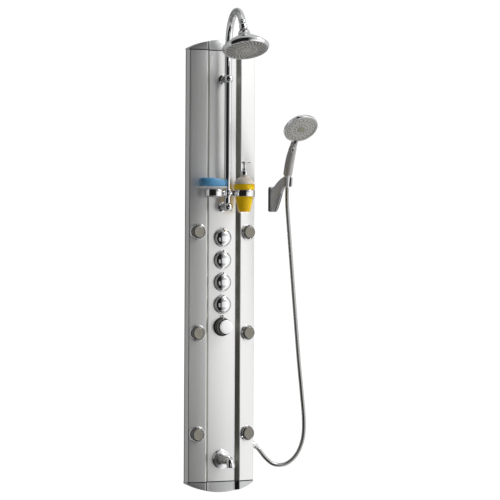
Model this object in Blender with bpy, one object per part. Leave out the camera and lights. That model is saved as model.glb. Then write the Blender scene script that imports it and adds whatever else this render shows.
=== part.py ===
"""Rainfall shower column for a bathroom wall.

Wall plane is y = 0 and the front faces -Y. X runs to the viewer's right and Z is up.
The origin lies on the wall plane at the middle of the panel. All lengths are metres.
"""
import math

import bmesh
import bpy
from mathutils import Matrix, Vector

# ---------------------------------------------------------------- driving dimensions
GAP = 0.0003                  # clear space left between pieces that touch

PANEL_HALF_WIDTH = 0.1225
PANEL_SEAM_Z = 0.7240         # height where the end caps start, above and below the middle
SHEET = 0.0018                # wall thickness of the aluminium sections
LIP_X = 0.1080                # inner end of the lip that lies on the wall
SIDE_FRONT_Y = -0.0330
CORNER_X = 0.1200
CORNER_Y = -0.0358
CREST_X = 0.0640
CREST_Y = -0.0487
GROOVE_X = 0.0512
GROOVE_Y = -0.0370
FLANGE_X = 0.0510
FLANGE_BACK_Y = -0.0180
WING_BULGE = 0.0008
CENTRE_HALF = 0.0504
CENTRE_EDGE_Y = -0.0364
CENTRE_APEX_Y = -0.0389
CENTRE_FACETS = 10

CAP_SIDE_Z = 0.7310           # top of the cap at the panel's sides
CAP_RISE = 0.0310             # how much higher the cap is in the middle
CAP_WALL = 0.0030

RISER_Y = -0.0780
RISER_RADIUS = 0.0120
RISER_BORE = 0.0104
BRACKET_LOW_Z = 0.1985
BRACKET_HIGH_Z = 0.6280
BRACKET_RADIUS = 0.0155

ARM_YAW = math.radians(12.0)  # overhead arm stands turned this much to the viewer's left
ARM_LEAD_START_Z = 0.6881
ARM_LEAD_RADIUS = 0.3000
ARM_LEAD_TURN = math.radians(15.0)
ARM_BEND_RADIUS = 0.1040
ARM_TOTAL_TURN = math.radians(141.0)
BALL_OFFSET = 0.0230          # from the end of the arm to the middle of the ball
BALL_RADIUS = 0.0095
ARM_END_STRAIGHT = 0.0020
HEAD_LEAN = math.radians(20.0)
HEAD_YAW = math.radians(6.0)

HOLDER_LOW_Z = 0.2339
HOLDER_HIGH_Z = 0.2554
HOLDER_Y = -0.0960
DISH_RING_X = -0.0580
DISH_RING_INNER = 0.0282
DISH_RING_OUTER = 0.0302
BOTTLE_X = 0.0535
BOTTLE_RING_INNER = 0.0336
BOTTLE_RING_OUTER = 0.0358

KNOB_TOP_Z = 0.0955
KNOB_PITCH = 0.0750
KNOB_COUNT = 4

JET_X = 0.0930
JET_HEIGHTS = (0.1150, -0.2250, -0.5650)
JET_BALL_RADIUS = 0.0228
JET_BALL_OUT = 0.0030         # ball centre in front of the wing surface
JET_HOLE = 0.0254

SPOUT_Z = -0.6500
SPOUT_REACH_Y = -0.1130
SPOUT_END_Z = -0.6730
SPOUT_BEND = 0.0200

HAND_X = 0.2060
HAND_Y = -0.1145              # upright line through the handset's socket
HAND_YAW = math.radians(6.4)  # handset stands turned this much to the viewer's left
CONE_LOW = (-0.0018, 0.2668)  # bottom of the handset's cone: outward distance and height
CONE_HIGH = (0.0026, 0.3066)
HAND_FACE = (0.1270, 0.4570)
HAND_FACE_TILT = math.radians(48.0)   # face looks this far below level

HOSE_RADIUS = 0.0068
HOSE_POINTS = 50
OUTLET_Z = -0.6060
OUTLET_Y = -0.0200
OUTLET_BALL = Vector((PANEL_HALF_WIDTH + 0.0078, OUTLET_Y, OUTLET_Z))
OUTLET_END = Vector((0.1415, OUTLET_Y, -0.6165))   # where the hose leaves its union

# colour, roughness, metallic
FINISHES = {
    "aluminium": ((0.62, 0.63, 0.62, 1.0), 0.28, 1.0),
    "cap": ((0.50, 0.51, 0.51, 1.0), 0.32, 1.0),
    "chrome": ((0.86, 0.87, 0.88, 1.0), 0.06, 1.0),
    "steel": ((0.55, 0.56, 0.57, 1.0), 0.35, 1.0),
    "brass": ((0.70, 0.55, 0.28, 1.0), 0.30, 1.0),
    "grey rubber": ((0.33, 0.32, 0.30, 1.0), 0.60, 0.0),
    "satin grey": ((0.45, 0.44, 0.42, 1.0), 0.35, 0.3),
    "black": ((0.03, 0.03, 0.035, 1.0), 0.40, 0.0),
    "pearl": ((0.90, 0.90, 0.89, 1.0), 0.15, 0.6),
    "frosted": ((0.86, 0.89, 0.90, 1.0), 0.35, 0.0),
    "blue soap": ((0.10, 0.30, 0.62, 1.0), 0.50, 0.0),
    "yellow liquid": ((0.85, 0.62, 0.04, 1.0), 0.20, 0.0),
    "clear plastic": ((0.85, 0.80, 0.76, 1.0), 0.20, 0.0),
    "white tube": ((0.80, 0.80, 0.78, 1.0), 0.45, 0.0),
    "braided": ((0.60, 0.60, 0.61, 1.0), 0.30, 1.0),
}


# ---------------------------------------------------------------- general helpers
def clear_scene():
    for item in list(bpy.data.objects):
        bpy.data.objects.remove(item, do_unlink=True)


def paint(obj, finish):
    colour, roughness, metallic = FINISHES[finish]
    material = bpy.data.materials.new(obj.name + "_finish")
    material.use_nodes = True
    shader = material.node_tree.nodes["Principled BSDF"]
    shader.inputs["Base Color"].default_value = colour
    shader.inputs["Roughness"].default_value = roughness
    shader.inputs["Metallic"].default_value = metallic
    material.diffuse_color = colour
    obj.data.materials.clear()
    obj.data.materials.append(material)


def smooth(mesh, angle):
    for face in mesh.polygons:
        face.use_smooth = True
    mesh.set_sharp_from_angle(angle=math.radians(angle))


def new_solid(name, work, finish, place=None, angle=32):
    """One closed body from a bmesh; place puts its own axes in the world."""
    mesh = bpy.data.meshes.new(name)
    bmesh.ops.recalc_face_normals(work, faces=work.faces)
    work.to_mesh(mesh)
    work.free()
    obj = bpy.data.objects.new(name, mesh)
    bpy.context.scene.collection.objects.link(obj)
    if place is not None:
        obj.matrix_world = place
    smooth(mesh, angle)
    paint(obj, finish)
    return obj


def skin(name, rings, finish, place=None, loop=False, angle=32):
    """Join rings of equal size one after the other; ends are closed, or joined in a loop."""
    count = len(rings[0])
    work = bmesh.new()
    rows = [[work.verts.new(point) for point in ring] for ring in rings]
    following = rows[1:] + rows[:1] if loop else rows[1:]
    for row, other in zip(rows, following):
        for step in range(count):
            after = (step + 1) % count
            work.faces.new((row[step], row[after], other[after], other[step]))
    if not loop:
        work.faces.new(rows[0])
        work.faces.new(rows[-1])
    return new_solid(name, work, finish, place, angle)


def turned(name, profile, steps, finish, place=None, loop=False, angle=32):
    """Lathe work: profile is (radius, height) pairs about the piece's own Z axis."""
    work = bmesh.new()
    corners = [work.verts.new((radius, 0, height)) for radius, height in profile]
    edges = [work.edges.new(pair) for pair in zip(corners, corners[1:])]
    if loop:
        edges.append(work.edges.new((corners[-1], corners[0])))
    bmesh.ops.spin(work, geom=corners + edges, axis=(0, 0, 1), cent=(0, 0, 0), angle=2.0 * math.pi,
                   steps=steps, use_merge=True)
    if not loop:
        bmesh.ops.holes_fill(work, edges=work.edges)
    return new_solid(name, work, finish, place, angle)


def path_frames(path):
    """Tangent and two side directions at each point, carried along without twisting."""
    frames = []
    side = None
    for index, point in enumerate(path):
        ahead = path[min(index + 1, len(path) - 1)]
        behind = path[max(index - 1, 0)]
        tangent = (ahead - behind).normalized()
        if side is None:
            guess = Vector((1, 0, 0))
            if abs(tangent.x) > 0.9:
                guess = Vector((0, 1, 0))
            side = guess
        side = (side - tangent * side.dot(tangent)).normalized()
        frames.append((tangent, side, tangent.cross(side)))
    return frames


def sweep_rings(path, radii, steps):
    rings = []
    for point, radius, frame in zip(path, radii, path_frames(path)):
        ring = []
        for step in range(steps):
            turn = 2.0 * math.pi * step / steps
            ring.append(point + frame[1] * radius * math.cos(turn) + frame[2] * radius * math.sin(turn))
        rings.append(ring)
    return rings


def moved_rings(rings, origin):
    return [[point - origin for point in ring] for ring in rings]


def swept(name, path, radii, steps, finish, bore=None, origin=Vector((0, 0, 0))):
    """Round bar along a path; with a bore it is a tube open at both ends."""
    rings = sweep_rings(path, radii, steps)
    if bore is not None:
        rings += list(reversed(sweep_rings(path, [bore] * len(path), steps)))
    place = Matrix.Translation(origin)
    return skin(name, moved_rings(rings, origin), finish, place, loop=bore is not None)


def extruded(name, outline, low, high, finish, angle=32):
    bottom = [(x, y, low) for x, y in outline]
    top = [(x, y, high) for x, y in outline]
    return skin(name, [bottom, top], finish, angle=angle)


def box(name, corner, opposite, finish):
    (x0, y0, z0), (x1, y1, z1) = corner, opposite
    return extruded(name, [(x0, y0), (x1, y0), (x1, y1), (x0, y1)], z0, z1, finish)


def combine(obj, others, operation, angle=32):
    """Join the other solids to this one, or cut them out of it, and keep one body."""
    for other in others:
        modifier = obj.modifiers.new("work", "BOOLEAN")
        modifier.operation = operation
        modifier.solver = "EXACT"
        modifier.object = other
    bpy.context.view_layer.update()
    graph = bpy.context.evaluated_depsgraph_get()
    mesh = bpy.data.meshes.new_from_object(obj.evaluated_get(graph))
    obj.modifiers.clear()
    old = obj.data
    finish = old.materials[0]
    obj.data = mesh
    mesh.name = obj.name
    mesh.materials.clear()
    mesh.materials.append(finish)
    for face in mesh.polygons:
        face.material_index = 0
    bpy.data.meshes.remove(old)
    for other in others:
        bpy.data.objects.remove(other, do_unlink=True)
    smooth(mesh, angle)
    return obj


def facing_front(x, y, z):
    """Own Z axis points out of the panel, own Y axis points up."""
    turn = Matrix(((1, 0, 0, 0), (0, 0, -1, 0), (0, 1, 0, 0), (0, 0, 0, 1)))
    return Matrix.Translation((x, y, z)) @ turn


def aimed(origin, direction):
    """Own Z axis along a direction, own X axis kept level."""
    axis = Vector(direction).normalized()
    level = Vector((0, 0, 1)).cross(axis)
    if level.length < 1e-6:
        level = Vector((1, 0, 0))
    level.normalize()
    other = axis.cross(level)
    turn = Matrix((level, other, axis)).transposed().to_4x4()
    return Matrix.Translation(origin) @ turn


def drill(radius, low, high, place, steps=16):
    return turned("drill", [(radius, low), (radius, high)], steps, "steel", place)


# ---------------------------------------------------------------- panel sections
def offset_path(path, distance):
    """The same open path moved sideways to its right by a distance."""
    normals = []
    for (x0, y0), (x1, y1) in zip(path, path[1:]):
        length = math.hypot(x1 - x0, y1 - y0)
        normals.append(((y1 - y0) / length, -(x1 - x0) / length))
    moved = []
    for index, (x, y) in enumerate(path):
        before = normals[max(index - 1, 0)]
        after = normals[min(index, len(normals) - 1)]
        sum_x, sum_y = before[0] + after[0], before[1] + after[1]
        scale = 2.0 * distance / (sum_x * sum_x + sum_y * sum_y)
        moved.append((x + sum_x * scale, y + sum_y * scale))
    return moved


def sheet_outline(path):
    return path + list(reversed(offset_path(path, SHEET)))


def wing_front():
    """Front face of the right wing from its outer corner to its crest."""
    run_x, run_y = CREST_X - CORNER_X, CREST_Y - CORNER_Y
    length = math.hypot(run_x, run_y)
    out_x, out_y = -run_y / length, run_x / length
    points = []
    for index in range(5):
        share = index / 4
        bulge = WING_BULGE * 4.0 * share * (1.0 - share)
        points.append((CORNER_X + run_x * share + out_x * bulge,
                       CORNER_Y + run_y * share + out_y * bulge))
    return points


def wing_skin():
    """Everything of the right wing that shows, from the wall to the groove."""
    side = [(PANEL_HALF_WIDTH, 0.0), (PANEL_HALF_WIDTH, SIDE_FRONT_Y), (0.1218, -0.0348)]
    crest = [(0.0626, -0.0485), (0.0614, -0.0474), (GROOVE_X, GROOVE_Y)]
    return side + wing_front() + crest


def wing_path():
    return [(LIP_X, 0.0)] + wing_skin() + [(FLANGE_X, -0.0362), (FLANGE_X, FLANGE_BACK_Y)]


def centre_front():
    points = []
    for index in range(CENTRE_FACETS + 1):
        share = 2.0 * index / CENTRE_FACETS - 1.0
        depth = CENTRE_APEX_Y + (CENTRE_EDGE_Y - CENTRE_APEX_Y) * share * share
        points.append((CENTRE_HALF * share, depth))
    return points


def jet_place(side, z):
    """Own Z axis square to the wing surface at a jet."""
    run_x, run_y = CREST_X - CORNER_X, CREST_Y - CORNER_Y
    share = (JET_X - CORNER_X) / run_x
    length = math.hypot(run_x, run_y)
    out = Vector((-run_y / length * side, run_x / length, 0))
    surface = Vector((JET_X * side, CORNER_Y + run_y * share, z))
    return aimed(surface + out * WING_BULGE, out)


def build_wing(name, side):
    outline = [(x * side, y) for x, y in sheet_outline(wing_path())]
    wing = extruded(name, outline, -PANEL_SEAM_Z + GAP, PANEL_SEAM_Z - GAP, "aluminium", 20)
    holes = [drill(JET_HOLE, -0.012, 0.012, jet_place(side, z)) for z in JET_HEIGHTS]
    if side > 0:
        exit_place = aimed((PANEL_HALF_WIDTH, OUTLET_Y, OUTLET_Z), (1, 0, 0))
        holes.append(drill(0.0070, -0.010, 0.010, exit_place, 12))
    return combine(wing, holes, "DIFFERENCE", 20)


def knob_heights():
    return [KNOB_TOP_Z - KNOB_PITCH * index for index in range(KNOB_COUNT + 1)]


def build_centre():
    start = (-CENTRE_HALF, FLANGE_BACK_Y)
    end = (CENTRE_HALF, FLANGE_BACK_Y)
    path = [end] + list(reversed(centre_front())) + [start]
    centre = extruded("centre_panel", sheet_outline(path), -PANEL_SEAM_Z + GAP, PANEL_SEAM_Z - GAP,
                      "aluminium", 20)
    holes = [drill(0.0135, -0.008, 0.008, facing_front(0, CENTRE_APEX_Y, z), 12) for z in knob_heights()]
    for z in (BRACKET_LOW_Z, SPOUT_Z):
        holes.append(drill(0.0085, -0.008, 0.008, facing_front(0, CENTRE_APEX_Y, z), 12))
    return combine(centre, holes, "DIFFERENCE", 20)


def cap_height(x, inset=0.0):
    radius = (PANEL_HALF_WIDTH ** 2 + CAP_RISE ** 2) / (2.0 * CAP_RISE)
    return CAP_SIDE_Z + math.sqrt(radius * radius - x * x) - (radius - CAP_RISE) - inset


def cap_outline(inset):
    """Front edge of the whole panel from left to right, moved inwards by an inset."""
    right = list(reversed(wing_skin()))[:-1]
    left = [(-x, y) for x, y in reversed(right)]
    line = left + centre_front()[1:-1] + right
    if inset == 0.0:
        return line
    narrower = 1.0 - inset / PANEL_HALF_WIDTH
    return [(x * narrower, y + inset) for x, y in line]


def cap_solid(name, sign, inset, seam, finish):
    """Solid between the seam and the arched top, from the wall to the front edge."""
    line = cap_outline(inset)
    rings = []
    for x, front in line:
        top = cap_height(x, inset) * sign
        rings.append([(x, front, seam * sign), (x, front, top), (x, -inset, top),
                      (x, -inset, seam * sign)])
    return skin(name, rings, finish, angle=24)


def build_cap(name, sign):
    cap = cap_solid(name, sign, 0.0, PANEL_SEAM_Z + GAP, "cap")
    hollow = cap_solid("hollow", sign, CAP_WALL, PANEL_SEAM_Z - 0.01, "cap")
    return combine(cap, [hollow], "DIFFERENCE", 24)


def build_wall_bar(name, z):
    """Steel bar that hooks on wall screws and ties the wings' lips together."""
    half = 0.1180
    path = [(-half, -0.0022), (-0.1072, -0.0022), (-0.1045, 0.0), (0.1045, 0.0), (0.1072, -0.0022),
            (half, -0.0022)]
    bar = extruded(name, sheet_outline(path), z - 0.024, z + 0.024, "steel")
    holes = []
    for x in (-0.070, 0.070):
        holes.append(drill(0.0065, -0.01, 0.01, facing_front(x, 0, z - 0.008), 12))
        holes.append(box("slot", (x - 0.003, -0.01, z - 0.008), (x + 0.003, 0.01, z + 0.012), "steel"))
    return combine(bar, holes, "DIFFERENCE")


# ---------------------------------------------------------------- water parts inside
def build_mixer():
    body = box("mixer_body", (-0.017, -0.006, -0.250), (0.017, -0.0265, 0.140), "brass")
    necks = []
    for z in knob_heights():
        profile = [(0.0125, 0.0100), (0.0125, -0.0060), (0.0105, -0.0080), (0.0048, -0.0080),
                   (0.0048, -0.0200)]
        flipped = [(radius, -height) for radius, height in profile]
        necks.append(turned("neck", flipped, 12, "brass", facing_front(0, -0.0305, z)))
    return combine(body, necks, "UNION")


def smooth_path(route, count):
    """Evenly spaced points on a smooth curve through the route points."""
    points = [Vector(item) for item in route]
    padded = [points[0] * 2 - points[1]] + points + [points[-1] * 2 - points[-2]]
    dense = []
    for index in range(len(points) - 1):
        a, b, c, d = padded[index:index + 4]
        for step in range(24):
            t = step / 24
            dense.append(0.5 * ((2 * b) + (c - a) * t + (2 * a - 5 * b + 4 * c - d) * t ** 2
                                + (3 * b - a - 3 * c + d) * t ** 3))
    dense.append(points[-1])
    return resample(dense, count)


def resample(dense, count):
    travelled = [0.0]
    for before, after in zip(dense, dense[1:]):
        travelled.append(travelled[-1] + (after - before).length)
    result = []
    place = 0
    for index in range(count):
        target = travelled[-1] * index / (count - 1)
        while place < len(dense) - 2 and travelled[place + 1] < target:
            place += 1
        span = travelled[place + 1] - travelled[place]
        share = (target - travelled[place]) / span
        result.append(dense[place].lerp(dense[place + 1], share))
    return result


def straight_ended(route, count):
    """Smooth path whose first and last pieces stay exactly straight."""
    return [Vector(route[0])] + smooth_path(route[1:-1], count - 2) + [Vector(route[-1])]


def build_tube(name, route, radius, finish, count):
    path = straight_ended(route, count)
    return swept(name, path, [radius] * count, 8, finish)


def build_inside_tubes():
    build_tube("riser_feed", [(0, -0.016, 0.1405), (0, -0.016, 0.160), (0, -0.020, 0.180),
                              (0, -0.026, 0.192),
                              (0, -0.0315, 0.1975)], 0.0060, "white tube", 7)
    build_tube("spout_feed", [(0, -0.016, -0.2505), (0, -0.016, -0.300), (0, -0.016, -0.400),
                              (0, -0.016, -0.600), (0, -0.022, -0.640),
                              (0, -0.027, -0.648), (0, -0.0315, -0.650)], 0.0060, "white tube", 9)
    for name, side in (("jet_feed_left", -1), ("jet_feed_right", 1)):
        route = [(0.0178 * side, -0.0120, 0.040), (0.0260 * side, -0.0120, 0.040),
                 (0.050 * side, -0.0095, 0.010),
                 (0.076 * side, -0.0095, -0.080), (0.086 * side, -0.0095, -0.200),
                 (0.086 * side, -0.0095, -0.400),
                 (0.086 * side, -0.0095, -0.520), (0.086 * side, -0.0095, -0.570)]
        build_tube(name, route, 0.0045, "white tube", 12)
    route = [(0.0178, -0.0120, -0.235), (0.0260, -0.0120, -0.235), (0.046, -0.0095, -0.290),
             (0.056, -0.0095, -0.400),
             (0.064, -0.0095, -0.520), (0.080, -0.0120, -0.590), (0.1020, OUTLET_Y, OUTLET_Z),
             (0.1135, OUTLET_Y, OUTLET_Z)]
    build_tube("hose_feed", route, 0.0045, "white tube", 16)
    for name, side in (("inlet_hot", -1), ("inlet_cold", 1)):
        build_tube(name, [(0.030 * side, -0.0165, 0.110), (0.030 * side, -0.0165, 0.140),
                          (0.032 * side, -0.0165, 0.200), (0.034 * side, -0.0165, 0.320),
                          (0.034 * side, -0.0140, 0.380), (0.034 * side, -0.0120, 0.400)], 0.0065,
                          "braided", 8)


# ---------------------------------------------------------------- valves
def build_trim_ring(name, z, finish):
    profile = [(0.0150, 0.0012), (0.0150, 0.0042), (0.0296, 0.0042), (0.0314, 0.0024)]
    lowered = [(0.0318, -0.0004)]
    ring = turned(name, profile + lowered, 18, finish, facing_front(0, CENTRE_APEX_Y, z), loop=True)
    follow_panel(ring)
    return ring


def follow_panel(obj):
    """Bring the back of a round trim piece down to the curved front of the centre panel."""
    span = CENTRE_EDGE_Y - CENTRE_APEX_Y
    for vertex in obj.data.vertices:
        if vertex.co.z < 0.0014:
            share = vertex.co.x / CENTRE_HALF
            vertex.co.z = -span * share * share + 1.6 * GAP + max(vertex.co.z, 0.0)


def build_peg(place, low, high, radius, out):
    peg = place @ Matrix.Translation((0, 0, out)) @ Matrix.Rotation(math.radians(-90), 4, "X")
    profile = [(radius, low), (radius, high - 0.001), (radius * 0.6, high)]
    return turned("peg", profile, 8, "chrome", peg)


def build_knob(number, z):
    place = facing_front(0, CENTRE_APEX_Y, z)
    profile = [(0.0054, 0.0140), (0.0054, 0.0048), (0.0268, 0.0048), (0.0286, 0.0070), (0.0282, 0.0120),
               (0.0250, 0.0176), (0.0180, 0.0214), (0.0070, 0.0232)]
    knob = turned("valve_knob_%d" % number, profile, 18, "chrome", place)
    return combine(knob, [build_peg(place, 0.0240, 0.0345, 0.0032, 0.0105)], "UNION")


def build_thermostat(z):
    build_trim_ring("thermostat_trim", z, "black")
    place = facing_front(0, CENTRE_APEX_Y, z)
    profile = [(0.0054, 0.0140), (0.0054, 0.0048), (0.0272, 0.0048), (0.0284, 0.0060), (0.0284, 0.0110),
               (0.0262, 0.0122), (0.0262, 0.0285), (0.0250, 0.0300), (0.0235, 0.0310)]
    grip = turned("thermostat_grip", profile, 18, "satin grey", place)
    combine(grip, [build_peg(place, 0.0240, 0.0400, 0.0038, 0.0085)], "UNION")
    cap = [(0.0230, 0.0313), (0.0232, 0.0355), (0.0206, 0.0384), (0.0060, 0.0403)]
    turned("thermostat_cap", cap, 18, "pearl", place)


def build_valves():
    heights = knob_heights()
    for index in range(KNOB_COUNT):
        build_trim_ring("valve_trim_%d" % (index + 1), heights[index], "chrome")
        build_knob(index + 1, heights[index])
    build_thermostat(heights[-1])


# ---------------------------------------------------------------- body jets
def build_jet(name, side, z):
    place = jet_place(side, z)
    ring = [(0.0276, 0.0004), (0.0276, 0.0034), (0.0254, 0.0064), (0.0234, 0.0052), (0.0234, -0.0075),
            (0.0250, -0.0075), (0.0250, 0.0004)]
    turned("jet_ring_" + name, ring, 16, "chrome", place, loop=True)
    centre = place @ Vector((0, 0, JET_BALL_OUT))
    profile = []
    for degrees in (-36, -14, 8, 33):
        turn = math.radians(degrees)
        profile.append((JET_BALL_RADIUS * math.cos(turn), JET_BALL_RADIUS * math.sin(turn)))
    profile.append((0.0170, 0.0128))
    turned("jet_nozzle_" + name, profile, 16, "grey rubber", facing_front(*centre))


def build_jets():
    for side_name, side in (("left", -1), ("right", 1)):
        for index, z in enumerate(JET_HEIGHTS):
            build_jet("%s_%d" % (side_name, index + 1), side, z)


# ---------------------------------------------------------------- riser, arm and rain head
def build_bracket(name, z, through):
    place = facing_front(0, CENTRE_APEX_Y, z)
    profile = [(0.0168, 0.0004), (0.0168, 0.0028), (0.0118, 0.0056), (0.0118, 0.0190),
               (BRACKET_RADIUS, 0.0236),
               (BRACKET_RADIUS, 0.0500), (0.0136, 0.0560), (0.0060, 0.0600)]
    bracket = turned(name, profile, 16, "chrome", place)
    low = -0.03 if through else 0.0025
    hole = drill(RISER_RADIUS + GAP, low, 0.03, Matrix.Translation((0, RISER_Y, z)), 16)
    return combine(bracket, [hole], "DIFFERENCE")


def build_riser():
    low = BRACKET_LOW_Z + 0.0030
    high = BRACKET_HIGH_Z - GAP
    path = [Vector((0, RISER_Y, low)), Vector((0, RISER_Y, high))]
    swept("riser_pipe", path, [RISER_RADIUS] * 2, 16, "chrome", RISER_BORE)
    build_bracket("riser_bracket_low", BRACKET_LOW_Z, False)
    build_bracket("riser_bracket_high", BRACKET_HIGH_Z, True)


def arm_point(reach, z):
    return Vector((-reach * math.sin(ARM_YAW), RISER_Y - reach * math.cos(ARM_YAW), z))


def leaning(lean, yaw):
    """Downward and outward direction that leans out from straight down."""
    out = math.sin(lean)
    return Vector((-out * math.sin(yaw), -out * math.cos(yaw), -math.cos(lean)))


def arm_direction(lean):
    return leaning(lean, ARM_YAW)


def arm_path():
    points = [arm_point(0, BRACKET_HIGH_Z + GAP), arm_point(0, ARM_LEAD_START_Z)]
    for index in range(1, 4):
        turn = ARM_LEAD_TURN * index / 3
        points.append(arm_point(ARM_LEAD_RADIUS * (1 - math.cos(turn)),
                                ARM_LEAD_START_Z + ARM_LEAD_RADIUS * math.sin(turn)))
    reach = ARM_LEAD_RADIUS * (1 - math.cos(ARM_LEAD_TURN))
    height = ARM_LEAD_START_Z + ARM_LEAD_RADIUS * math.sin(ARM_LEAD_TURN)
    for index in range(1, 12):
        turn = ARM_LEAD_TURN + (ARM_TOTAL_TURN - ARM_LEAD_TURN) * index / 11
        points.append(arm_point(reach + ARM_BEND_RADIUS * (math.cos(ARM_LEAD_TURN) - math.cos(turn)),
                                height + ARM_BEND_RADIUS * (math.sin(turn) - math.sin(ARM_LEAD_TURN))))
    points.append(points[-1] + arm_direction(math.pi - ARM_TOTAL_TURN) * ARM_END_STRAIGHT)
    return points


def build_arm():
    path = arm_path()
    axis_point = Vector((0, RISER_Y, BRACKET_HIGH_Z))
    swept("overhead_arm", path, [RISER_RADIUS] * len(path), 12, "chrome", RISER_BORE, axis_point)
    direction = arm_direction(math.pi - ARM_TOTAL_TURN)
    place = aimed(path[-1], direction)
    profile = [(0.0122, GAP), (0.0122, 0.0030), (0.0108, 0.0040), (0.0108, 0.0085), (0.0100, 0.0105),
               (0.0055, 0.0112), (0.0055, 0.0155)]
    for degrees in (-40, -10, 20, 50, 72):
        turn = math.radians(degrees)
        profile.append((BALL_RADIUS * math.cos(turn), BALL_OFFSET + BALL_RADIUS * math.sin(turn)))
    turned("ball_stud", profile, 12, "chrome", place)
    return path[-1] + direction * BALL_OFFSET


def build_rain_head(ball):
    place = aimed(ball, leaning(HEAD_LEAN, HEAD_YAW))
    collar = [(0.0087, -0.0060), (0.0122, -0.0060), (0.0134, -0.0030), (0.0134, 0.0066), (0.0118, 0.0092),
              (0.0118, 0.0106), (0.0184, 0.0214), (0.0180, 0.0224), (0.0060, 0.0224), (0.0060, 0.0080),
              (0.0088, 0.0052), (0.0098, 0.0025), (0.0100, 0.0), (0.0098, -0.0025), (0.0090, -0.0046)]
    turned("ball_collar", collar, 12, "chrome", place, loop=True)
    shell = [(0.0190, 0.0228), (0.0205, 0.0290), (0.0240, 0.0350), (0.0350, 0.0432), (0.0500, 0.0520),
             (0.0650, 0.0635), (0.0745, 0.0715), (0.0776, 0.0755), (0.0772, 0.0785), (0.0722, 0.0862),
             (0.0712, 0.0862), (0.0712, 0.0800), (0.0620, 0.0690), (0.0420, 0.0540), (0.0150, 0.0420)]
    turned("rain_head_shell", shell, 26, "chrome", place)
    face = [(0.0708, 0.0812), (0.0708, 0.0850), (0.0580, 0.0868), (0.0060, 0.0878)]
    turned("rain_head_face", face, 26, "grey rubber", place)


# ---------------------------------------------------------------- accessories on the riser
def upright_disc(name, x, y, radius, steps, spare=0.0):
    """Short upright cylinder as tall as the holder, made taller by a spare length when it cuts."""
    profile = [(radius, HOLDER_LOW_Z - spare), (radius, HOLDER_HIGH_Z + spare)]
    return turned(name, profile, steps, "chrome", Matrix.Translation((x, y, 0)))


def link_bar(start_x, start_y, end_x, end_y, low, high):
    direction = Vector((end_x - start_x, end_y - start_y, 0)).normalized()
    side = Vector((-direction.y, direction.x, 0)) * 0.0035
    ends = [Vector((start_x, start_y, 0)), Vector((end_x, end_y, 0))]
    outline = [ends[0] + side, ends[0] - side, ends[1] - side, ends[1] + side]
    return extruded("link", [(point.x, point.y) for point in outline], low, high, "chrome")


def build_holder():
    """Clamp that slides on the riser, with a ring for the dish and one for the bottle."""
    clamp = upright_disc("accessory_holder", 0, RISER_Y, 0.0170, 18)
    low, high = HOLDER_LOW_Z + 0.0006, HOLDER_HIGH_Z - 0.0006
    screw_place = aimed((0, RISER_Y, (HOLDER_LOW_Z + HOLDER_HIGH_Z) / 2), (0, -1, 0))
    parts = [upright_disc("ring", DISH_RING_X, HOLDER_Y, DISH_RING_OUTER, 20),
             upright_disc("ring", BOTTLE_X, HOLDER_Y, BOTTLE_RING_OUTER, 22),
             link_bar(0.0, RISER_Y, DISH_RING_X, HOLDER_Y, low, high),
             link_bar(0.0, RISER_Y, BOTTLE_X, HOLDER_Y, low, high),
             turned("screw", [(0.0060, 0.0140), (0.0060, 0.0230), (0.0045, 0.0245)], 10, "chrome",
                    screw_place)]
    combine(clamp, parts, "UNION")
    holes = [upright_disc("hole", 0, RISER_Y, RISER_RADIUS + 0.0005, 18, 0.01),
             upright_disc("hole", DISH_RING_X, HOLDER_Y, DISH_RING_INNER, 20, 0.01),
             upright_disc("hole", BOTTLE_X, HOLDER_Y, BOTTLE_RING_INNER, 22, 0.01)]
    return combine(clamp, holes, "DIFFERENCE")


def oval(x, half_x, half_y, z, steps):
    ring = []
    for step in range(steps):
        turn = 2.0 * math.pi * step / steps
        ring.append((x + half_x * math.cos(turn), HOLDER_Y + half_y * math.sin(turn), z))
    return ring


def build_dish():
    steps = 20
    outside = [(-0.0580, 0.0225, 0.0225, 0.2295), (-0.0580, 0.0262, 0.0262, 0.2330),
               (-0.0580, 0.0272, 0.0272, 0.2558), (-0.0590, 0.0330, 0.0315, 0.2574),
               (-0.0640, 0.0450, 0.0360, 0.2594), (-0.0690, 0.0530, 0.0400, 0.2632),
               (-0.0692, 0.0536, 0.0404, 0.2655)]
    inside = [(-0.0690, 0.0518, 0.0388, 0.2662), (-0.0680, 0.0495, 0.0370, 0.2640),
              (-0.0650, 0.0440, 0.0330, 0.2616), (-0.0630, 0.0300, 0.0250, 0.2610)]
    rings = [oval(*values, steps) for values in outside + inside]
    return skin("soap_dish", rings, "frosted")


def build_soap():
    steps = 18
    layers = [(-0.0655, 0.0330, 0.0200, 0.2615), (-0.0655, 0.0405, 0.0260, 0.2640),
              (-0.0655, 0.0440, 0.0290, 0.2685),
              (-0.0657, 0.0462, 0.0300, 0.2780), (-0.0657, 0.0460, 0.0298, 0.2870),
              (-0.0657, 0.0430, 0.0275, 0.2925),
              (-0.0657, 0.0360, 0.0215, 0.2940), (-0.0657, 0.0180, 0.0110, 0.2925)]
    rings = [worn_down(oval(*values, steps)) for values in layers]
    return skin("soap_bar", rings, "blue soap")


def worn_down(ring):
    """Lower a layer of the soap towards the bottle's side, more so the higher it lies."""
    base_z, height, middle_x, half_x, fall = 0.2615, 0.0325, -0.0657, 0.0460, 0.0050
    return [(x, y, z - max(0.0, fall * (x - middle_x) / half_x * (z - base_z) / height))
            for x, y, z in ring]


BOTTLE_OUTSIDE = [(0.0165, 0.1800), (0.0204, 0.1815), (0.0258, 0.2050), (0.0306, 0.2310),
                  (0.0330, 0.2556),
                  (0.0354, 0.2610), (0.0358, 0.2660), (0.0348, 0.2750), (0.0300, 0.2870),
                  (0.0190, 0.2970),
                  (0.0118, 0.2996), (0.0110, 0.3045)]
BOTTLE_WALL = 0.0015


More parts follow.
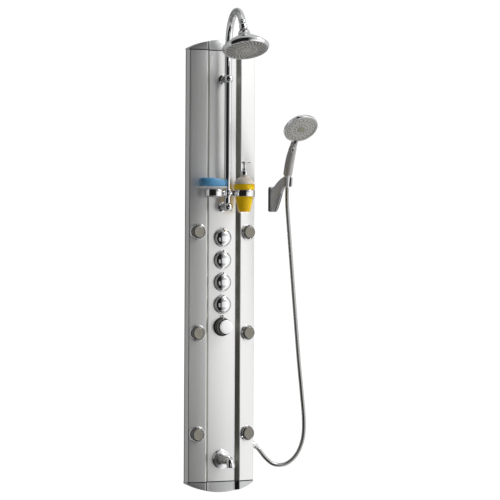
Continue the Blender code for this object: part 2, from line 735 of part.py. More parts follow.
def bottle_inside(clearance):
    """Inside of the bottle from its shoulder down to its floor."""
    wall = BOTTLE_WALL + clearance
    rows = [(radius - wall, height) for radius, height in BOTTLE_OUTSIDE[2:8]]
    floor = [(0.0160 - clearance, 0.1800 + wall), (0.0190 - clearance, 0.1828 + clearance)]
    return floor, rows


def build_bottle():
    place = Matrix.Translation((BOTTLE_X, HOLDER_Y, 0))
    floor, rows = bottle_inside(0.0)
    upper = [(0.0282, 0.2860), (0.0176, 0.2955), (0.0100, 0.2984), (0.0095, 0.3045)]
    inside = list(reversed(upper)) + list(reversed(rows)) + list(reversed(floor))
    turned("soap_bottle", BOTTLE_OUTSIDE + inside, 16, "clear plastic", place)
    floor, rows = bottle_inside(0.0004)
    column = [(0.0030, floor[0][1])] + floor + rows + [(0.0030, rows[-1][1])]
    turned("bottle_liquid", column, 16, "yellow liquid", place, loop=True)


def build_pump():
    place = Matrix.Translation((BOTTLE_X, HOLDER_Y, 0))
    collar = [(0.0024, 0.1880), (0.0024, 0.3049), (0.0108, 0.3049), (0.0115, 0.3065), (0.0115, 0.3180),
              (0.0085, 0.3215), (0.0070, 0.3280), (0.0042, 0.3280), (0.0042, 0.3095)]
    turned("pump_collar", collar, 10, "chrome", place)
    head = [(0.0037, 0.3205), (0.0037, 0.3400), (0.0060, 0.3430), (0.0098, 0.3480), (0.0105, 0.3505),
            (0.0070, 0.3522)]
    plunger = turned("pump_head", head, 10, "chrome", place)
    nozzle_place = aimed((BOTTLE_X, HOLDER_Y, 0.3482), (1, -0.25, 0.02))
    nozzle = turned("nozzle", [(0.0030, 0.0040), (0.0030, 0.0225), (0.0024, 0.0232)], 8, "chrome",
                    nozzle_place)
    combine(plunger, [nozzle], "UNION")


# ---------------------------------------------------------------- tub spout
def build_spout():
    place = facing_front(0, CENTRE_APEX_Y, SPOUT_Z)
    plate = turned("tub_spout", [(0.0318, 0.0012), (0.0326, 0.0016), (0.0326, 0.0034), (0.0300, 0.0052),
                                 (0.0225, 0.0080), (0.0120, 0.0095)],
                   18, "chrome", place)
    follow_panel(plate)
    path = [Vector((0, y, SPOUT_Z)) for y in (-0.0440, -0.0600, -0.0760, -0.0900)]
    for index in range(1, 5):
        turn = math.radians(90.0 * index / 4)
        path.append(Vector((0, SPOUT_REACH_Y + SPOUT_BEND * (1 - math.sin(turn)),
                            SPOUT_Z - SPOUT_BEND * (1 - math.cos(turn)))))
    path.append(Vector((0, SPOUT_REACH_Y, SPOUT_END_Z)))
    radii = [0.0215, 0.0185, 0.0160, 0.0145] + [0.0136] * 4 + [0.0132]
    rings = sweep_rings(path, radii, 14)
    end = rings[-1]
    middle = Vector((0, SPOUT_REACH_Y, SPOUT_END_Z))
    mouth = [middle + (point - middle) * 0.82 for point in end]
    inner = [point + Vector((0, 0, 0.0080)) for point in mouth]
    neck = skin("neck", rings + [mouth, inner], "chrome")
    return combine(plate, [neck], "UNION")


# ---------------------------------------------------------------- hand shower
def hand_point(pair):
    """World point in the handset's own upright plane."""
    outward, height = pair
    return Vector((HAND_X - outward * math.sin(HAND_YAW), HAND_Y - outward * math.cos(HAND_YAW), height))


def cone_axis():
    return (hand_point(CONE_HIGH) - hand_point(CONE_LOW)).normalized()


def rounded_plate(name, half_x, low, high, depth, radius):
    """Upright wall plate with round ends, lying on the wall."""
    outline = []
    for corner_x, corner_z, first in ((half_x - radius, high - radius, 0),
                                      (radius - half_x, high - radius, 90),
                                      (radius - half_x, low + radius, 180),
                                      (half_x - radius, low + radius, 270)):
        for step in range(4):
            turn = math.radians(first + 30 * step)
            outline.append((corner_x + radius * math.cos(turn), corner_z + radius * math.sin(turn)))
    rings = []
    for y, shrink in ((0.0, 1.0), (-depth + 0.002, 1.0), (-depth, 0.94)):
        middle = (low + high) / 2
        rings.append([(HAND_X + x * shrink, y, middle + (z - middle) * shrink) for x, z in outline])
    return skin(name, rings, "chrome")


def build_hand_bracket():
    """Wall plate, curved arm and socket for the handset, in one casting."""
    plate = rounded_plate("hand_bracket", 0.0155, 0.1850, 0.2715, 0.0120, 0.0070)
    sections = [((-0.0100, 0.1880), (-0.0100, 0.2690), 0.0130),
                ((-0.0280, 0.1870), (-0.0240, 0.2730), 0.0128),
                ((-0.0450, 0.2120), (-0.0400, 0.2810), 0.0120),
                ((-0.0640, 0.2410), (-0.0600, 0.2920), 0.0106),
                ((-0.0830, 0.2620), (-0.0820, 0.3000), 0.0090),
                ((-0.0985, 0.2690), (-0.0995, 0.3015), 0.0078)]
    rings = [arm_section(low, high, half) for low, high, half in sections]
    arm = skin("arm", rings, "chrome")
    place = aimed(hand_point(CONE_LOW), cone_axis())
    socket = [(0.0108, 0.0030), (0.0150, 0.0030), (0.0168, 0.0060), (0.0172, 0.0330), (0.0160, 0.0350),
              (0.0132, 0.0350)]
    ring = turned("socket", socket, 18, "chrome", place, loop=True)
    body = combine(plate, [arm, ring], "UNION")
    bore = turned("bore", [(0.0107, 0.0), (0.0108, 0.0030), (0.0132, 0.0350), (0.0133, 0.0400)], 18,
                  "chrome", place)
    slot = box("slot", (-0.0078, -0.0500, 0.2600), (0.0078, 0.0, 0.3200), "chrome")
    slot.matrix_world = Matrix.Translation((HAND_X, HAND_Y, 0)) @ Matrix.Rotation(-HAND_YAW, 4, "Z")
    return combine(body, [bore, slot], "DIFFERENCE")


def arm_section(low, high, half):
    """Upright rounded section of the bracket's arm between two points of its outline."""
    bottom, top = Vector((HAND_X, *low)), Vector((HAND_X, *high))
    middle = (bottom + top) / 2
    rise = (top - bottom) / 2
    ring = []
    for step in range(10):
        turn = 2.0 * math.pi * step / 10
        wide = math.copysign(abs(math.cos(turn)) ** 0.6, math.cos(turn))
        tall = math.copysign(abs(math.sin(turn)) ** 0.6, math.sin(turn))
        ring.append(middle + Vector((half * wide, 0, 0)) + rise * tall)
    return ring


def hand_face_place():
    direction = Vector((0, -math.cos(HAND_FACE_TILT), -math.sin(HAND_FACE_TILT)))
    return aimed(hand_point(HAND_FACE), direction)


def handle_path():
    route = [CONE_LOW, CONE_HIGH, (0.0110, 0.3300), (0.0260, 0.3610), (0.0540, 0.4020), (0.0680, 0.4180),
             (0.0830, 0.4330), (0.0980, 0.4440)]
    return smooth_path([hand_point(pair) for pair in route], 17)


def handle_radius(z):
    table = [(0.2660, 0.0096), (0.3010, 0.0120), (0.3060, 0.0124), (0.3090, 0.0150), (0.3300, 0.0156),
             (0.3610, 0.0152), (0.3900, 0.0135), (0.4100, 0.0112), (0.4300, 0.0104), (0.4700, 0.0110)]
    for (low, first), (high, second) in zip(table, table[1:]):
        if z <= high:
            share = (z - low) / (high - low)
            return first + (second - first) * share
    return table[-1][1]


def build_handset():
    place = hand_face_place()
    shell = [(0.0120, -0.0245), (0.0300, -0.0235), (0.0450, -0.0195), (0.0555, -0.0130),
             (0.0588, -0.0085),
             (0.0588, 0.0004), (0.0578, 0.0014), (0.0556, 0.0012), (0.0556, -0.0050)]
    body = turned("handset_body", shell, 22, "satin grey", place)
    path = handle_path()
    handle = swept("handle", path, [handle_radius(point.z) for point in path], 12, "satin grey")
    combine(body, [handle], "UNION")
    recess = turned("recess", [(0.0556, -0.0050), (0.0556, 0.0400)], 22, "satin grey", place)
    combine(body, [recess], "DIFFERENCE")
    face = [(0.0478, -0.0046), (0.0480, 0.0008), (0.0420, 0.0021), (0.0060, 0.0028)]
    turned("handset_face", face, 22, "grey rubber", place)
    ring = [(0.0489, -0.0046), (0.0547, -0.0046), (0.0547, 0.0008), (0.0538, 0.0018), (0.0489, 0.0014)]
    selector = turned("handset_selector", ring, 22, "satin grey", place, loop=True)
    tab = rounded_tab(place)
    combine(selector, [tab], "UNION")


def rounded_tab(place):
    """Thumb tab on the spray selector, at the side of the face nearest the handle."""
    tab = box("tab", (-0.0035, -0.0650, 0.0000), (0.0035, -0.0510, 0.0047), "satin grey")
    tab.matrix_world = place @ Matrix.Translation((0, 0, 0.0004))
    low_cut = box("cut", (-0.0100, -0.0700, -0.0100), (0.0100, -0.0543, 0.0018), "satin grey")
    low_cut.matrix_world = place
    return combine(tab, [low_cut], "DIFFERENCE")


def outlet_way():
    return (OUTLET_END - OUTLET_BALL).normalized()


def hose_route():
    """From the handset's cone down, round the low loop and up to the outlet."""
    low = hand_point(CONE_LOW) - cone_axis() * GAP
    lead = low - cone_axis() * 0.020
    return [tuple(low), tuple(lead), (0.2080, -0.1105, 0.2000), (0.2180, -0.1060, 0.1100),
            (0.2320, -0.1010, -0.0200),
            (0.2490, -0.0940, -0.1700), (0.2670, -0.0860, -0.3200), (0.2830, -0.0780, -0.4300),
            (0.2960, -0.0700, -0.5250), (0.2960, -0.0620, -0.5900), (0.2770, -0.0540, -0.6420),
            (0.2430, -0.0460, -0.6730), (0.2030, -0.0370, -0.6760), (0.1740, -0.0290, -0.6560),
            tuple(OUTLET_END + outlet_way() * 0.0090), tuple(OUTLET_END + outlet_way() * GAP)]


def build_hose():
    points = straight_ended(hose_route(), HOSE_POINTS)
    curve = bpy.data.curves.new("hose", "CURVE")
    curve.dimensions = "3D"
    curve.bevel_depth = HOSE_RADIUS
    curve.bevel_resolution = 2
    curve.use_fill_caps = True
    curve.render_resolution_u = 0
    spline = curve.splines.new("POLY")
    spline.points.add(len(points) - 1)
    for target, point in zip(spline.points, points):
        target.co = (point.x, point.y, point.z, 1.0)
    obj = bpy.data.objects.new("hose", curve)
    bpy.context.scene.collection.objects.link(obj)
    paint(obj, "braided")


def build_outlet():
    """Hose union on the right side wall, turned down and outwards."""
    start = (PANEL_HALF_WIDTH + GAP, OUTLET_Y, OUTLET_Z)
    base = [(0.0066, -0.0080), (0.0066, 0.0), (0.0125, 0.0), (0.0125, 0.0030), (0.0095, 0.0050),
            (0.0095, 0.0100),
            (0.0060, 0.0125)]
    union = turned("hose_outlet", base, 12, "chrome", aimed(start, (1, 0, 0)))
    length = (OUTLET_END - OUTLET_BALL).length - GAP
    nut = [(0.0075, -0.0010), (0.0090, 0.0030), (0.0090, length - 0.002), (0.0080, length)]
    return combine(union, [turned("nut", nut, 12, "chrome", aimed(OUTLET_BALL, outlet_way()))], "UNION")


# ---------------------------------------------------------------- assembly
def main():
    clear_scene()
    build_wing("wing_left", -1)
    build_wing("wing_right", 1)
    build_centre()
    build_cap("cap_top", 1)
    build_cap("cap_bottom", -1)
    build_wall_bar("wall_bar_top", 0.600)
    build_wall_bar("wall_bar_bottom", -0.450)
    build_mixer()
    build_inside_tubes()
    build_valves()
    build_jets()
    build_riser()
    ball = build_arm()
    build_rain_head(ball)
    build_holder()
    build_dish()
    build_soap()
    build_bottle()
    build_pump()
    build_spout()
    build_hand_bracket()
    build_handset()
    build_outlet()
    build_hose()


main()
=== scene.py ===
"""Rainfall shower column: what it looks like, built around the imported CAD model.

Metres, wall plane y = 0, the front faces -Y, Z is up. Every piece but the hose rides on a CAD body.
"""
import math

import bmesh
import bpy
from mathutils import Matrix, Vector, noise


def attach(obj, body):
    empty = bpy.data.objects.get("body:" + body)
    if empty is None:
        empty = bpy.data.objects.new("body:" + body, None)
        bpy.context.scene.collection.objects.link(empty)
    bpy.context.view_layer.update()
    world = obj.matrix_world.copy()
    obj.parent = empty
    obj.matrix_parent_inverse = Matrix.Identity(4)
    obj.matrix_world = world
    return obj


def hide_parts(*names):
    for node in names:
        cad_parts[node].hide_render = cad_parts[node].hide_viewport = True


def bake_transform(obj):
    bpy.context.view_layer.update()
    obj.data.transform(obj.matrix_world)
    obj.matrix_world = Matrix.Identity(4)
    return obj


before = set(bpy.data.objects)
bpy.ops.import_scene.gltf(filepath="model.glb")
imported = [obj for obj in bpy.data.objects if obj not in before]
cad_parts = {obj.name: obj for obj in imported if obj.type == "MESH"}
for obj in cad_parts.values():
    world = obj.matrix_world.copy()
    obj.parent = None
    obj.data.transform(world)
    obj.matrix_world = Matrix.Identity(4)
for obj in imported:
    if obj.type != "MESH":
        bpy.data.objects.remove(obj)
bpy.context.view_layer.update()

PI = math.pi
GAP = 0.0003
PANEL = "panel"

# ---------------------------------------------------------------- camera
CAMERA_AZIMUTH = math.radians(26.0)
CAMERA_DISTANCE = 7.652
CAMERA_SIDE = 0.0946
CAMERA_HEIGHT = 0.0377
CAMERA_ROLL = math.radians(0.28)
CAMERA_LENS = 163.44
CAMERA_SHIFT_Y = 0.01
CAMERA_AIM_Y = -0.0354
SENSOR_WIDTH = 36.0


def make_camera():
    ahead = Vector((math.sin(CAMERA_AZIMUTH), math.cos(CAMERA_AZIMUTH), 0))
    right = Vector((math.cos(CAMERA_AZIMUTH), -math.sin(CAMERA_AZIMUTH), 0))
    data = bpy.data.cameras.new("camera")
    data.sensor_width = SENSOR_WIDTH
    data.lens = CAMERA_LENS
    data.shift_y = CAMERA_SHIFT_Y
    data.clip_end = 60.0
    camera = bpy.data.objects.new("camera", data)
    bpy.context.scene.collection.objects.link(camera)
    place = Vector((0, CAMERA_AIM_Y, 0)) - ahead * CAMERA_DISTANCE + right * CAMERA_SIDE
    place.z = CAMERA_HEIGHT
    turn = ahead.to_track_quat("-Z", "Y").to_matrix().to_4x4()
    camera.matrix_world = Matrix.Translation(place) @ turn @ Matrix.Rotation(CAMERA_ROLL, 4, "Z")
    bpy.context.scene.camera = camera


make_camera()


# ---------------------------------------------------------------- shapes: (points, faces) pairs
def facing_front(x, y, z):
    """Own Z axis points out of the panel, own Y axis points up."""
    turn = Matrix(((1, 0, 0, 0), (0, 0, -1, 0), (0, 1, 0, 0), (0, 0, 0, 1)))
    return Matrix.Translation((x, y, z)) @ turn


def aimed(origin, direction):
    """Own Z axis along a direction, own X axis kept level."""
    axis = Vector(direction).normalized()
    level = Vector((0, 0, 1)).cross(axis)
    if level.length < 1e-6:
        level = Vector((1, 0, 0))
    level.normalize()
    other = axis.cross(level)
    turn = Matrix((level, other, axis)).transposed().to_4x4()
    return Matrix.Translation(origin) @ turn


def placed(shape, place):
    points, faces = shape
    return [place @ Vector(point) for point in points], faces


def loft(rings, loop=False):
    """Join rings of equal size; the ends are closed, or the last ring joins the first."""
    count = len(rings[0])
    points = [Vector(point) for ring in rings for point in ring]
    faces = []
    rows = len(rings)
    for row in range(rows if loop else rows - 1):
        here, there = row * count, (row + 1) % rows * count
        for step in range(count):
            after = (step + 1) % count
            faces.append((here + step, here + after, there + after, there + step))
    if not loop:
        faces.append(tuple(reversed(range(count))))
        faces.append(tuple(range((rows - 1) * count, rows * count)))
    return points, faces


def lathe(profile, steps=96, place=None, loop=False, ripple=None):
    """Turned shape: profile is (radius, height) pairs about the own Z axis; ripple changes the radius."""
    rings = []
    for radius, height in profile:
        ring = []
        for step in range(steps):
            turn = 2 * PI * step / steps
            reach = radius if ripple is None else ripple(radius, height, turn)
            ring.append((reach * math.cos(turn), reach * math.sin(turn), height))
        rings.append(ring)
    shape = loft(rings, loop=loop)
    return shape if place is None else placed(shape, place)


def rounded(points, radius, steps=4):
    """Round the corners of a two-dimensional line; radius may be one number or one for each corner."""
    count = len(points)
    result = []
    for index, point in enumerate(points):
        corner = Vector(point)
        if index in (0, count - 1):
            result.append(tuple(corner))
            continue
        before, after = Vector(points[index - 1]), Vector(points[index + 1])
        size = radius[index] if isinstance(radius, (list, tuple)) else radius
        into, away = (before - corner), (after - corner)
        bend = PI - into.angle(away, PI)
        if bend < 0.02 or size <= 0:
            result.append(tuple(corner))
            continue
        reach = min(size * math.tan(bend / 2), into.length * 0.48, away.length * 0.48)
        start, end = corner + into.normalized() * reach, corner + away.normalized() * reach
        for step in range(steps + 1):
            share = step / steps
            one = start.lerp(corner, share)
            two = corner.lerp(end, share)
            result.append(tuple(one.lerp(two, share)))
    return result


def path_frames(path):
    frames = []
    side = None
    for index in range(len(path)):
        tangent = (path[min(index + 1, len(path) - 1)] - path[max(index - 1, 0)]).normalized()
        if side is None:
            side = Vector((0, 1, 0)) if abs(tangent.x) > 0.9 else Vector((1, 0, 0))
        side = (side - tangent * side.dot(tangent)).normalized()
        frames.append((side, tangent.cross(side)))
    return frames


def rings_round(path, radii, steps):
    rings = []
    for point, size, (one, two) in zip(path, radii, path_frames(path)):
        rings.append([point + one * size * math.cos(2 * PI * step / steps)
                      + two * size * math.sin(2 * PI * step / steps) for step in range(steps)])
    return rings


def sweep(path, radii, steps=48, bore=None):
    """Round bar along a path; a bore makes it a tube open at both ends."""
    if not isinstance(radii, (list, tuple)):
        radii = [radii] * len(path)
    outside = rings_round(path, radii, steps)
    if bore is None:
        return loft(outside)
    return loft(outside + rings_round(path, [bore] * len(path), steps)[::-1], loop=True)


def smooth_path(route, count):
    """Evenly spaced points on a smooth curve through the route points."""
    points = [Vector(item) for item in route]
    padded = [points[0] * 2 - points[1]] + points + [points[-1] * 2 - points[-2]]
    dense = []
    for index in range(len(points) - 1):
        a, b, c, d = padded[index:index + 4]
        for step in range(24):
            t = step / 24
            dense.append(0.5 * ((2 * b) + (c - a) * t + (2 * a - 5 * b + 4 * c - d) * t ** 2
                                + (3 * b - a - 3 * c + d) * t ** 3))
    dense.append(points[-1])
    return resample(dense, count)


def resample(dense, count):
    travelled = [0.0]
    for before, after in zip(dense, dense[1:]):
        travelled.append(travelled[-1] + (after - before).length)
    result = []
    place = 0
    for index in range(count):
        target = travelled[-1] * index / (count - 1)
        while place < len(dense) - 2 and travelled[place + 1] < target:
            place += 1
        span = travelled[place + 1] - travelled[place]
        result.append(dense[place].lerp(dense[place + 1], (target - travelled[place]) / span))
    return result


def straight_ended(route, count):
    return [Vector(route[0])] + smooth_path(route[1:-1], count - 2) + [Vector(route[-1])]


def prism(outline, low, high):
    return loft([[(x, y, low) for x, y in outline], [(x, y, high) for x, y in outline]])


def block(corner, opposite):
    (x0, y0, z0), (x1, y1, z1) = corner, opposite
    return prism([(x0, y0), (x1, y0), (x1, y1), (x0, y1)], z0, z1)


# ---------------------------------------------------------------- pieces
def build(name, parts, finishes, angle=35):
    """One mesh object from shapes; a part is (shape, index of its finish)."""
    work = bmesh.new()
    for shape, slot_index in parts:
        points, faces = shape
        made = [work.verts.new(point) for point in points]
        fresh = []
        for face in faces:
            fresh.append(work.faces.new([made[index] for index in face]))
        for face in fresh:
            face.material_index = slot_index
        bmesh.ops.recalc_face_normals(work, faces=fresh)
    mesh = bpy.data.meshes.new(name)
    work.to_mesh(mesh)
    work.free()
    obj = bpy.data.objects.new(name, mesh)
    bpy.context.scene.collection.objects.link(obj)
    for finish in finishes:
        mesh.materials.append(finish)
    shade(mesh, angle)
    return obj


def shade(mesh, angle=35):
    for face in mesh.polygons:
        face.use_smooth = True
    mesh.set_sharp_from_angle(angle=math.radians(angle))


def piece(name, body, parts, finishes, instead=(), angle=35):
    """Build an object and tie it to its CAD body and the nodes it stands for."""
    obj = build(name, parts, finishes, angle)
    return tie(obj, body, instead)


def tie(obj, body, instead=()):
    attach(obj, body)
    if instead:
        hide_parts(*instead)
    return obj


def apply_modifiers(obj, angle=35):
    bpy.context.view_layer.update()
    graph = bpy.context.evaluated_depsgraph_get()
    mesh = bpy.data.meshes.new_from_object(obj.evaluated_get(graph), preserve_all_data_layers=True,
                                           depsgraph=graph)
    obj.modifiers.clear()
    old = obj.data
    obj.data = mesh
    mesh.name = obj.name
    bpy.data.meshes.remove(old)
    shade(mesh, angle)
    return obj


def cut(obj, shapes, operation="DIFFERENCE", angle=35):
    """Cut shapes out of an object, or join them to it."""
    helpers = []
    for shape in shapes:
        helper = build("helper", [(shape, 0)], [obj.data.materials[0]])
        modifier = obj.modifiers.new("work", "BOOLEAN")
        modifier.operation = operation
        modifier.solver = "EXACT"
        modifier.object = helper
        helpers.append(helper)
    apply_modifiers(obj, angle)
    for helper in helpers:
        bpy.data.objects.remove(helper, do_unlink=True)
    return obj


# ---------------------------------------------------------------- finishes
def finish(name, colour, roughness, metallic=0.0, spread=0.1, dirt=0.06, grain=220.0, bump=0.02,
           stretch=(1, 1, 1),
           coarse=6.0, **direct):
    """Procedural finish: large soft changes of colour, finer changes of roughness, and a fine bump."""
    material = bpy.data.materials.new(name)
    material.use_nodes = True
    tree = material.node_tree
    nodes, links = tree.nodes, tree.links
    shader = nodes["Principled BSDF"]
    shader.inputs["Metallic"].default_value = metallic
    for socket, value in direct.items():
        shader.inputs[socket.replace("_", " ")].default_value = value
    place = nodes.new("ShaderNodeTexCoord")
    mapping = nodes.new("ShaderNodeMapping")
    mapping.inputs["Scale"].default_value = stretch
    links.new(place.outputs["Object"], mapping.inputs["Vector"])
    broad = nodes.new("ShaderNodeTexNoise")
    broad.inputs["Scale"].default_value = coarse
    broad.inputs["Detail"].default_value = 4.0
    links.new(mapping.outputs["Vector"], broad.inputs["Vector"])
    fine = nodes.new("ShaderNodeTexNoise")
    fine.inputs["Scale"].default_value = grain
    fine.inputs["Detail"].default_value = 3.0
    links.new(mapping.outputs["Vector"], fine.inputs["Vector"])
    tint = nodes.new("ShaderNodeMix")
    tint.data_type = "RGBA"
    darker = [channel * (1 - dirt) for channel in colour[:3]] + [1.0]
    lighter = [min(1.0, channel * (1 + dirt * 0.5)) for channel in colour[:3]] + [1.0]
    tint.inputs[6].default_value = darker
    tint.inputs[7].default_value = lighter
    links.new(broad.outputs["Fac"], tint.inputs[0])
    links.new(tint.outputs[2], shader.inputs["Base Color"])
    rough = nodes.new("ShaderNodeMapRange")
    rough.inputs["From Min"].default_value = 0.3
    rough.inputs["From Max"].default_value = 0.7
    rough.inputs["To Min"].default_value = roughness * (1 - spread)
    rough.inputs["To Max"].default_value = roughness * (1 + spread)
    links.new(fine.outputs["Fac"], rough.inputs["Value"])
    links.new(rough.outputs["Result"], shader.inputs["Roughness"])
    if bump:
        relief = nodes.new("ShaderNodeBump")
        relief.inputs["Strength"].default_value = bump
        relief.inputs["Distance"].default_value = 0.0004
        links.new(fine.outputs["Fac"], relief.inputs["Height"])
        links.new(relief.outputs["Normal"], shader.inputs["Normal"])
    return material


CHROME = finish("chrome", (0.9, 0.905, 0.915), 0.045, 1.0, spread=0.35, dirt=0.02, grain=60.0,
                bump=0.004)
ALUMINIUM = finish("satin_aluminium", (0.93, 0.93, 0.92), 0.33, 0.76, spread=0.1, dirt=0.025,
                   grain=160.0,
                   bump=0.05, stretch=(6, 6, 0.06), coarse=1.5)
ALUMINIUM_CAP = finish("cap_aluminium", (0.66, 0.665, 0.665), 0.33, 0.8, spread=0.12, dirt=0.04,
                       grain=150.0,
                       bump=0.05, stretch=(0.3, 0.3, 6), coarse=3.0)
# Painted shade: near-black for the groove walls where the grooves run through the end caps.
CAP_GROOVE_SHADE = finish("cap_groove_shade", (0.055, 0.055, 0.055), 0.4, 0.5, spread=0.1, dirt=0.1, grain=160.0,
                    bump=0.05)
# Painted shade: dark grey for the rearmost strip of each wing's side, where it meets the wall.
REAR_EDGE_SHADE = finish("rear_edge_shade", (0.17, 0.17, 0.165), 0.45, 0.2, spread=0.1, dirt=0.1, grain=160.0,
                   bump=0.05)
# Painted shade: darker, duller aluminium for each wing's return wall down into the groove, standing in
# for the shade in the groove.
GROOVE_SHADE = finish("groove_shaded_aluminium", (0.36, 0.36, 0.32), 0.42, 0.45, spread=0.1, dirt=0.1, grain=160.0,
                bump=0.05, stretch=(6, 6, 0.06), coarse=2.0)
STEEL = finish("zinc_steel", (0.5, 0.51, 0.52), 0.38, 1.0, spread=0.2, dirt=0.12, grain=70.0, bump=0.08,
               coarse=25.0)
BRASS = finish("cast_brass", (0.66, 0.48, 0.2), 0.42, 1.0, spread=0.2, dirt=0.15, grain=380.0,
               bump=0.25, coarse=30.0)
# Black rubber for the thermostat trim, its grip bands and the spout's aerator; also painted shade in the
# cap seams and painted reflection stripes on the hand holder.
BLACK = finish("black_rubber_painted_shade_and_reflection", (0.02, 0.02, 0.022), 0.48, spread=0.15, dirt=0.2, grain=500.0, bump=0.08)
NOZZLE = finish("nozzle_rubber", (0.44, 0.415, 0.35), 0.55, spread=0.12, dirt=0.12, grain=450.0,
                bump=0.1, coarse=40.0)
HEAD_FACE = finish("head_face", (0.62, 0.61, 0.575), 0.42, metallic=0.15, spread=0.15, dirt=0.14,
                   grain=320.0,
                   bump=0.06, coarse=22.0)
SATIN = finish("satin_grey", (0.58, 0.565, 0.54), 0.4, 0.2, spread=0.15, dirt=0.04, grain=420.0,
               bump=0.04, coarse=12.0)
FACE_GREY = finish("face_grey", (0.66, 0.65, 0.62), 0.36, 0.15, spread=0.15, dirt=0.06, grain=420.0,
                   bump=0.05)
CONE_GREY = finish("cone_grey", (0.34, 0.335, 0.35), 0.3, 0.7, spread=0.2, dirt=0.05, grain=120.0,
                   bump=0.02)
BRACKET_GREY = finish("bracket_grey", (0.56, 0.56, 0.57), 0.34, 0.3, spread=0.2, dirt=0.05, grain=120.0,
                      bump=0.02)
# Painted shade: the jet ball's side is dark, standing in for the shade in the gap under the chrome bezel.
JET_SIDE_SHADE = finish("jet_side_shade", (0.24, 0.235, 0.22), 0.22, 0.6, spread=0.2, dirt=0.05, grain=160.0,
                  bump=0.02)
NUB = finish("nozzle_nub", (0.6, 0.58, 0.51), 0.5, spread=0.15, dirt=0.12, grain=450.0, bump=0.05)
NOZZLE_LIGHT = finish("nozzle_light", (0.74, 0.73, 0.69), 0.5, spread=0.15, dirt=0.12, grain=450.0,
                      bump=0.05)
# Dark rubber for nozzle holes and the selector tab; also painted shade on the hand holder's left side
# face.
DARK_DOT_AND_SHADE = finish("dark_rubber_and_painted_shade", (0.045, 0.045, 0.045), 0.5, spread=0.15, dirt=0.2, grain=500.0,
                  bump=0.05)
# Brown rubber for nozzle nubs and the rain head's ridges; also a painted brown reflection on the hand
# holder's front.
BROWN_DOT_AND_REFLECTION = finish("brown_rubber_and_painted_reflection", (0.06, 0.052, 0.042), 0.5, spread=0.15, dirt=0.2, grain=500.0,
                   bump=0.05)
SAGE = finish("sage_plastic", (0.46, 0.46, 0.36), 0.4, spread=0.15, dirt=0.08, grain=420.0, bump=0.04)
# Painted light: the pearl cap glows a little so that it looks brightly lit.
PEARL_GLOW = finish("pearl_white_painted_glow", (0.97, 0.97, 0.975), 0.14, 0.0, Emission_Color=(1, 1, 1, 1),
               Emission_Strength=0.3, spread=0.2, dirt=0.02, grain=120.0, bump=0.01, Coat_Weight=0.4,
               Coat_Roughness=0.05)
FROSTED = finish("frosted_dish", (0.9, 0.92, 0.93), 0.3, spread=0.2, dirt=0.03, grain=300.0, bump=0.05,
                 Transmission_Weight=0.35, IOR=1.46, Subsurface_Weight=0.15, Subsurface_Scale=0.01)
SOAP = finish("blue_soap", (0.12, 0.4, 0.7), 0.42, spread=0.2, dirt=0.18, grain=160.0, bump=0.12,
              coarse=28.0,
              Subsurface_Weight=0.25, Subsurface_Scale=0.012, Coat_Weight=0.15, Coat_Roughness=0.25)
# Painted light: the liquid soap glows a little, standing in for the light it gets through the bottle.
LIQUID_GLOW = finish("golden_soap_painted_glow", (0.96, 0.64, 0.008), 0.3, spread=0.1, dirt=0.05, grain=40.0, bump=0.0,
                Subsurface_Weight=0.35, Subsurface_Scale=0.02, Specular_IOR_Level=0.2,
                Emission_Color=(0.95, 0.6, 0.01, 1.0), Emission_Strength=0.12)
BOTTLE = finish("bottle_plastic", (0.99, 0.98, 0.96), 0.06, spread=0.2, dirt=0.01, grain=260.0,
                bump=0.01,
                Transmission_Weight=1.0, IOR=1.04)
SHOULDER = finish("bottle_shoulder", (0.95, 0.86, 0.75), 0.28, spread=0.2, dirt=0.05, grain=200.0,
                  bump=0.02,
                  Transmission_Weight=0.1, IOR=1.3)
WHITE_PIPE = finish("white_pipe", (0.72, 0.72, 0.7), 0.4, spread=0.15, dirt=0.08, grain=250.0,
                    bump=0.05)
HOSE_GREY = finish("hose_grey", (0.56, 0.555, 0.54), 0.27, 0.92, spread=0.15, dirt=0.05, grain=300.0,
                   bump=0.03,
                   coarse=15.0)

# ---------------------------------------------------------------- hose
HOSE_DIAMETER = 0.0136
OUTLET = Vector((0.1225, -0.02, -0.606))
OUTLET_BALL = OUTLET + Vector((0.0078, 0, 0))
OUTLET_END = Vector((0.1415, -0.02, -0.6165))
OUTLET_WAY = (OUTLET_END - OUTLET_BALL).normalized()
HAND_X = 0.206
HAND_Y = -0.1145
HAND_YAW = math.radians(6.4)
CONE_LOW = (-0.0018, 0.2668)
CONE_HIGH = (0.0026, 0.3066)


def hand_point(pair):
    outward, height = pair
    return Vector((HAND_X - outward * math.sin(HAND_YAW), HAND_Y - outward * math.cos(HAND_YAW),
                   height))


CONE_AXIS = (hand_point(CONE_HIGH) - hand_point(CONE_LOW)).normalized()


def hose_path(count):
    """The CAD hose's route: from the handset's cone, round the low loop and up to the union."""
    low = hand_point(CONE_LOW) - CONE_AXIS * GAP
    route = [low, low - CONE_AXIS * 0.02, (0.208, -0.1105, 0.2), (0.218, -0.106, 0.11),
             (0.232, -0.101, -0.02), (0.249, -0.094, -0.17), (0.267, -0.086, -0.32),
             (0.283, -0.078, -0.43), (0.296, -0.07, -0.525), (0.296, -0.062, -0.59),
             (0.277, -0.054, -0.642), (0.243, -0.046, -0.673), (0.203, -0.037, -0.676),
             (0.174, -0.029, -0.656), OUTLET_END + OUTLET_WAY * 0.009, OUTLET_END + OUTLET_WAY * GAP]
    return straight_ended(route, count)


HOSE_RIBS = 420
RIB_DEPTH = 0.00022


def make_hose():
    """Tube with fine ribs all the way along."""
    path = hose_path(HOSE_RIBS * 2 + 1)
    radii = []
    for index in range(len(path)):
        radii.append(HOSE_DIAMETER / 2 - (RIB_DEPTH if index % 2 else 0.0))
    hose = build("hose_visual", [(sweep(path, radii, 20), 0)], [HOSE_GREY], angle=60)
    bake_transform(hose)
    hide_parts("hose")
    return hose


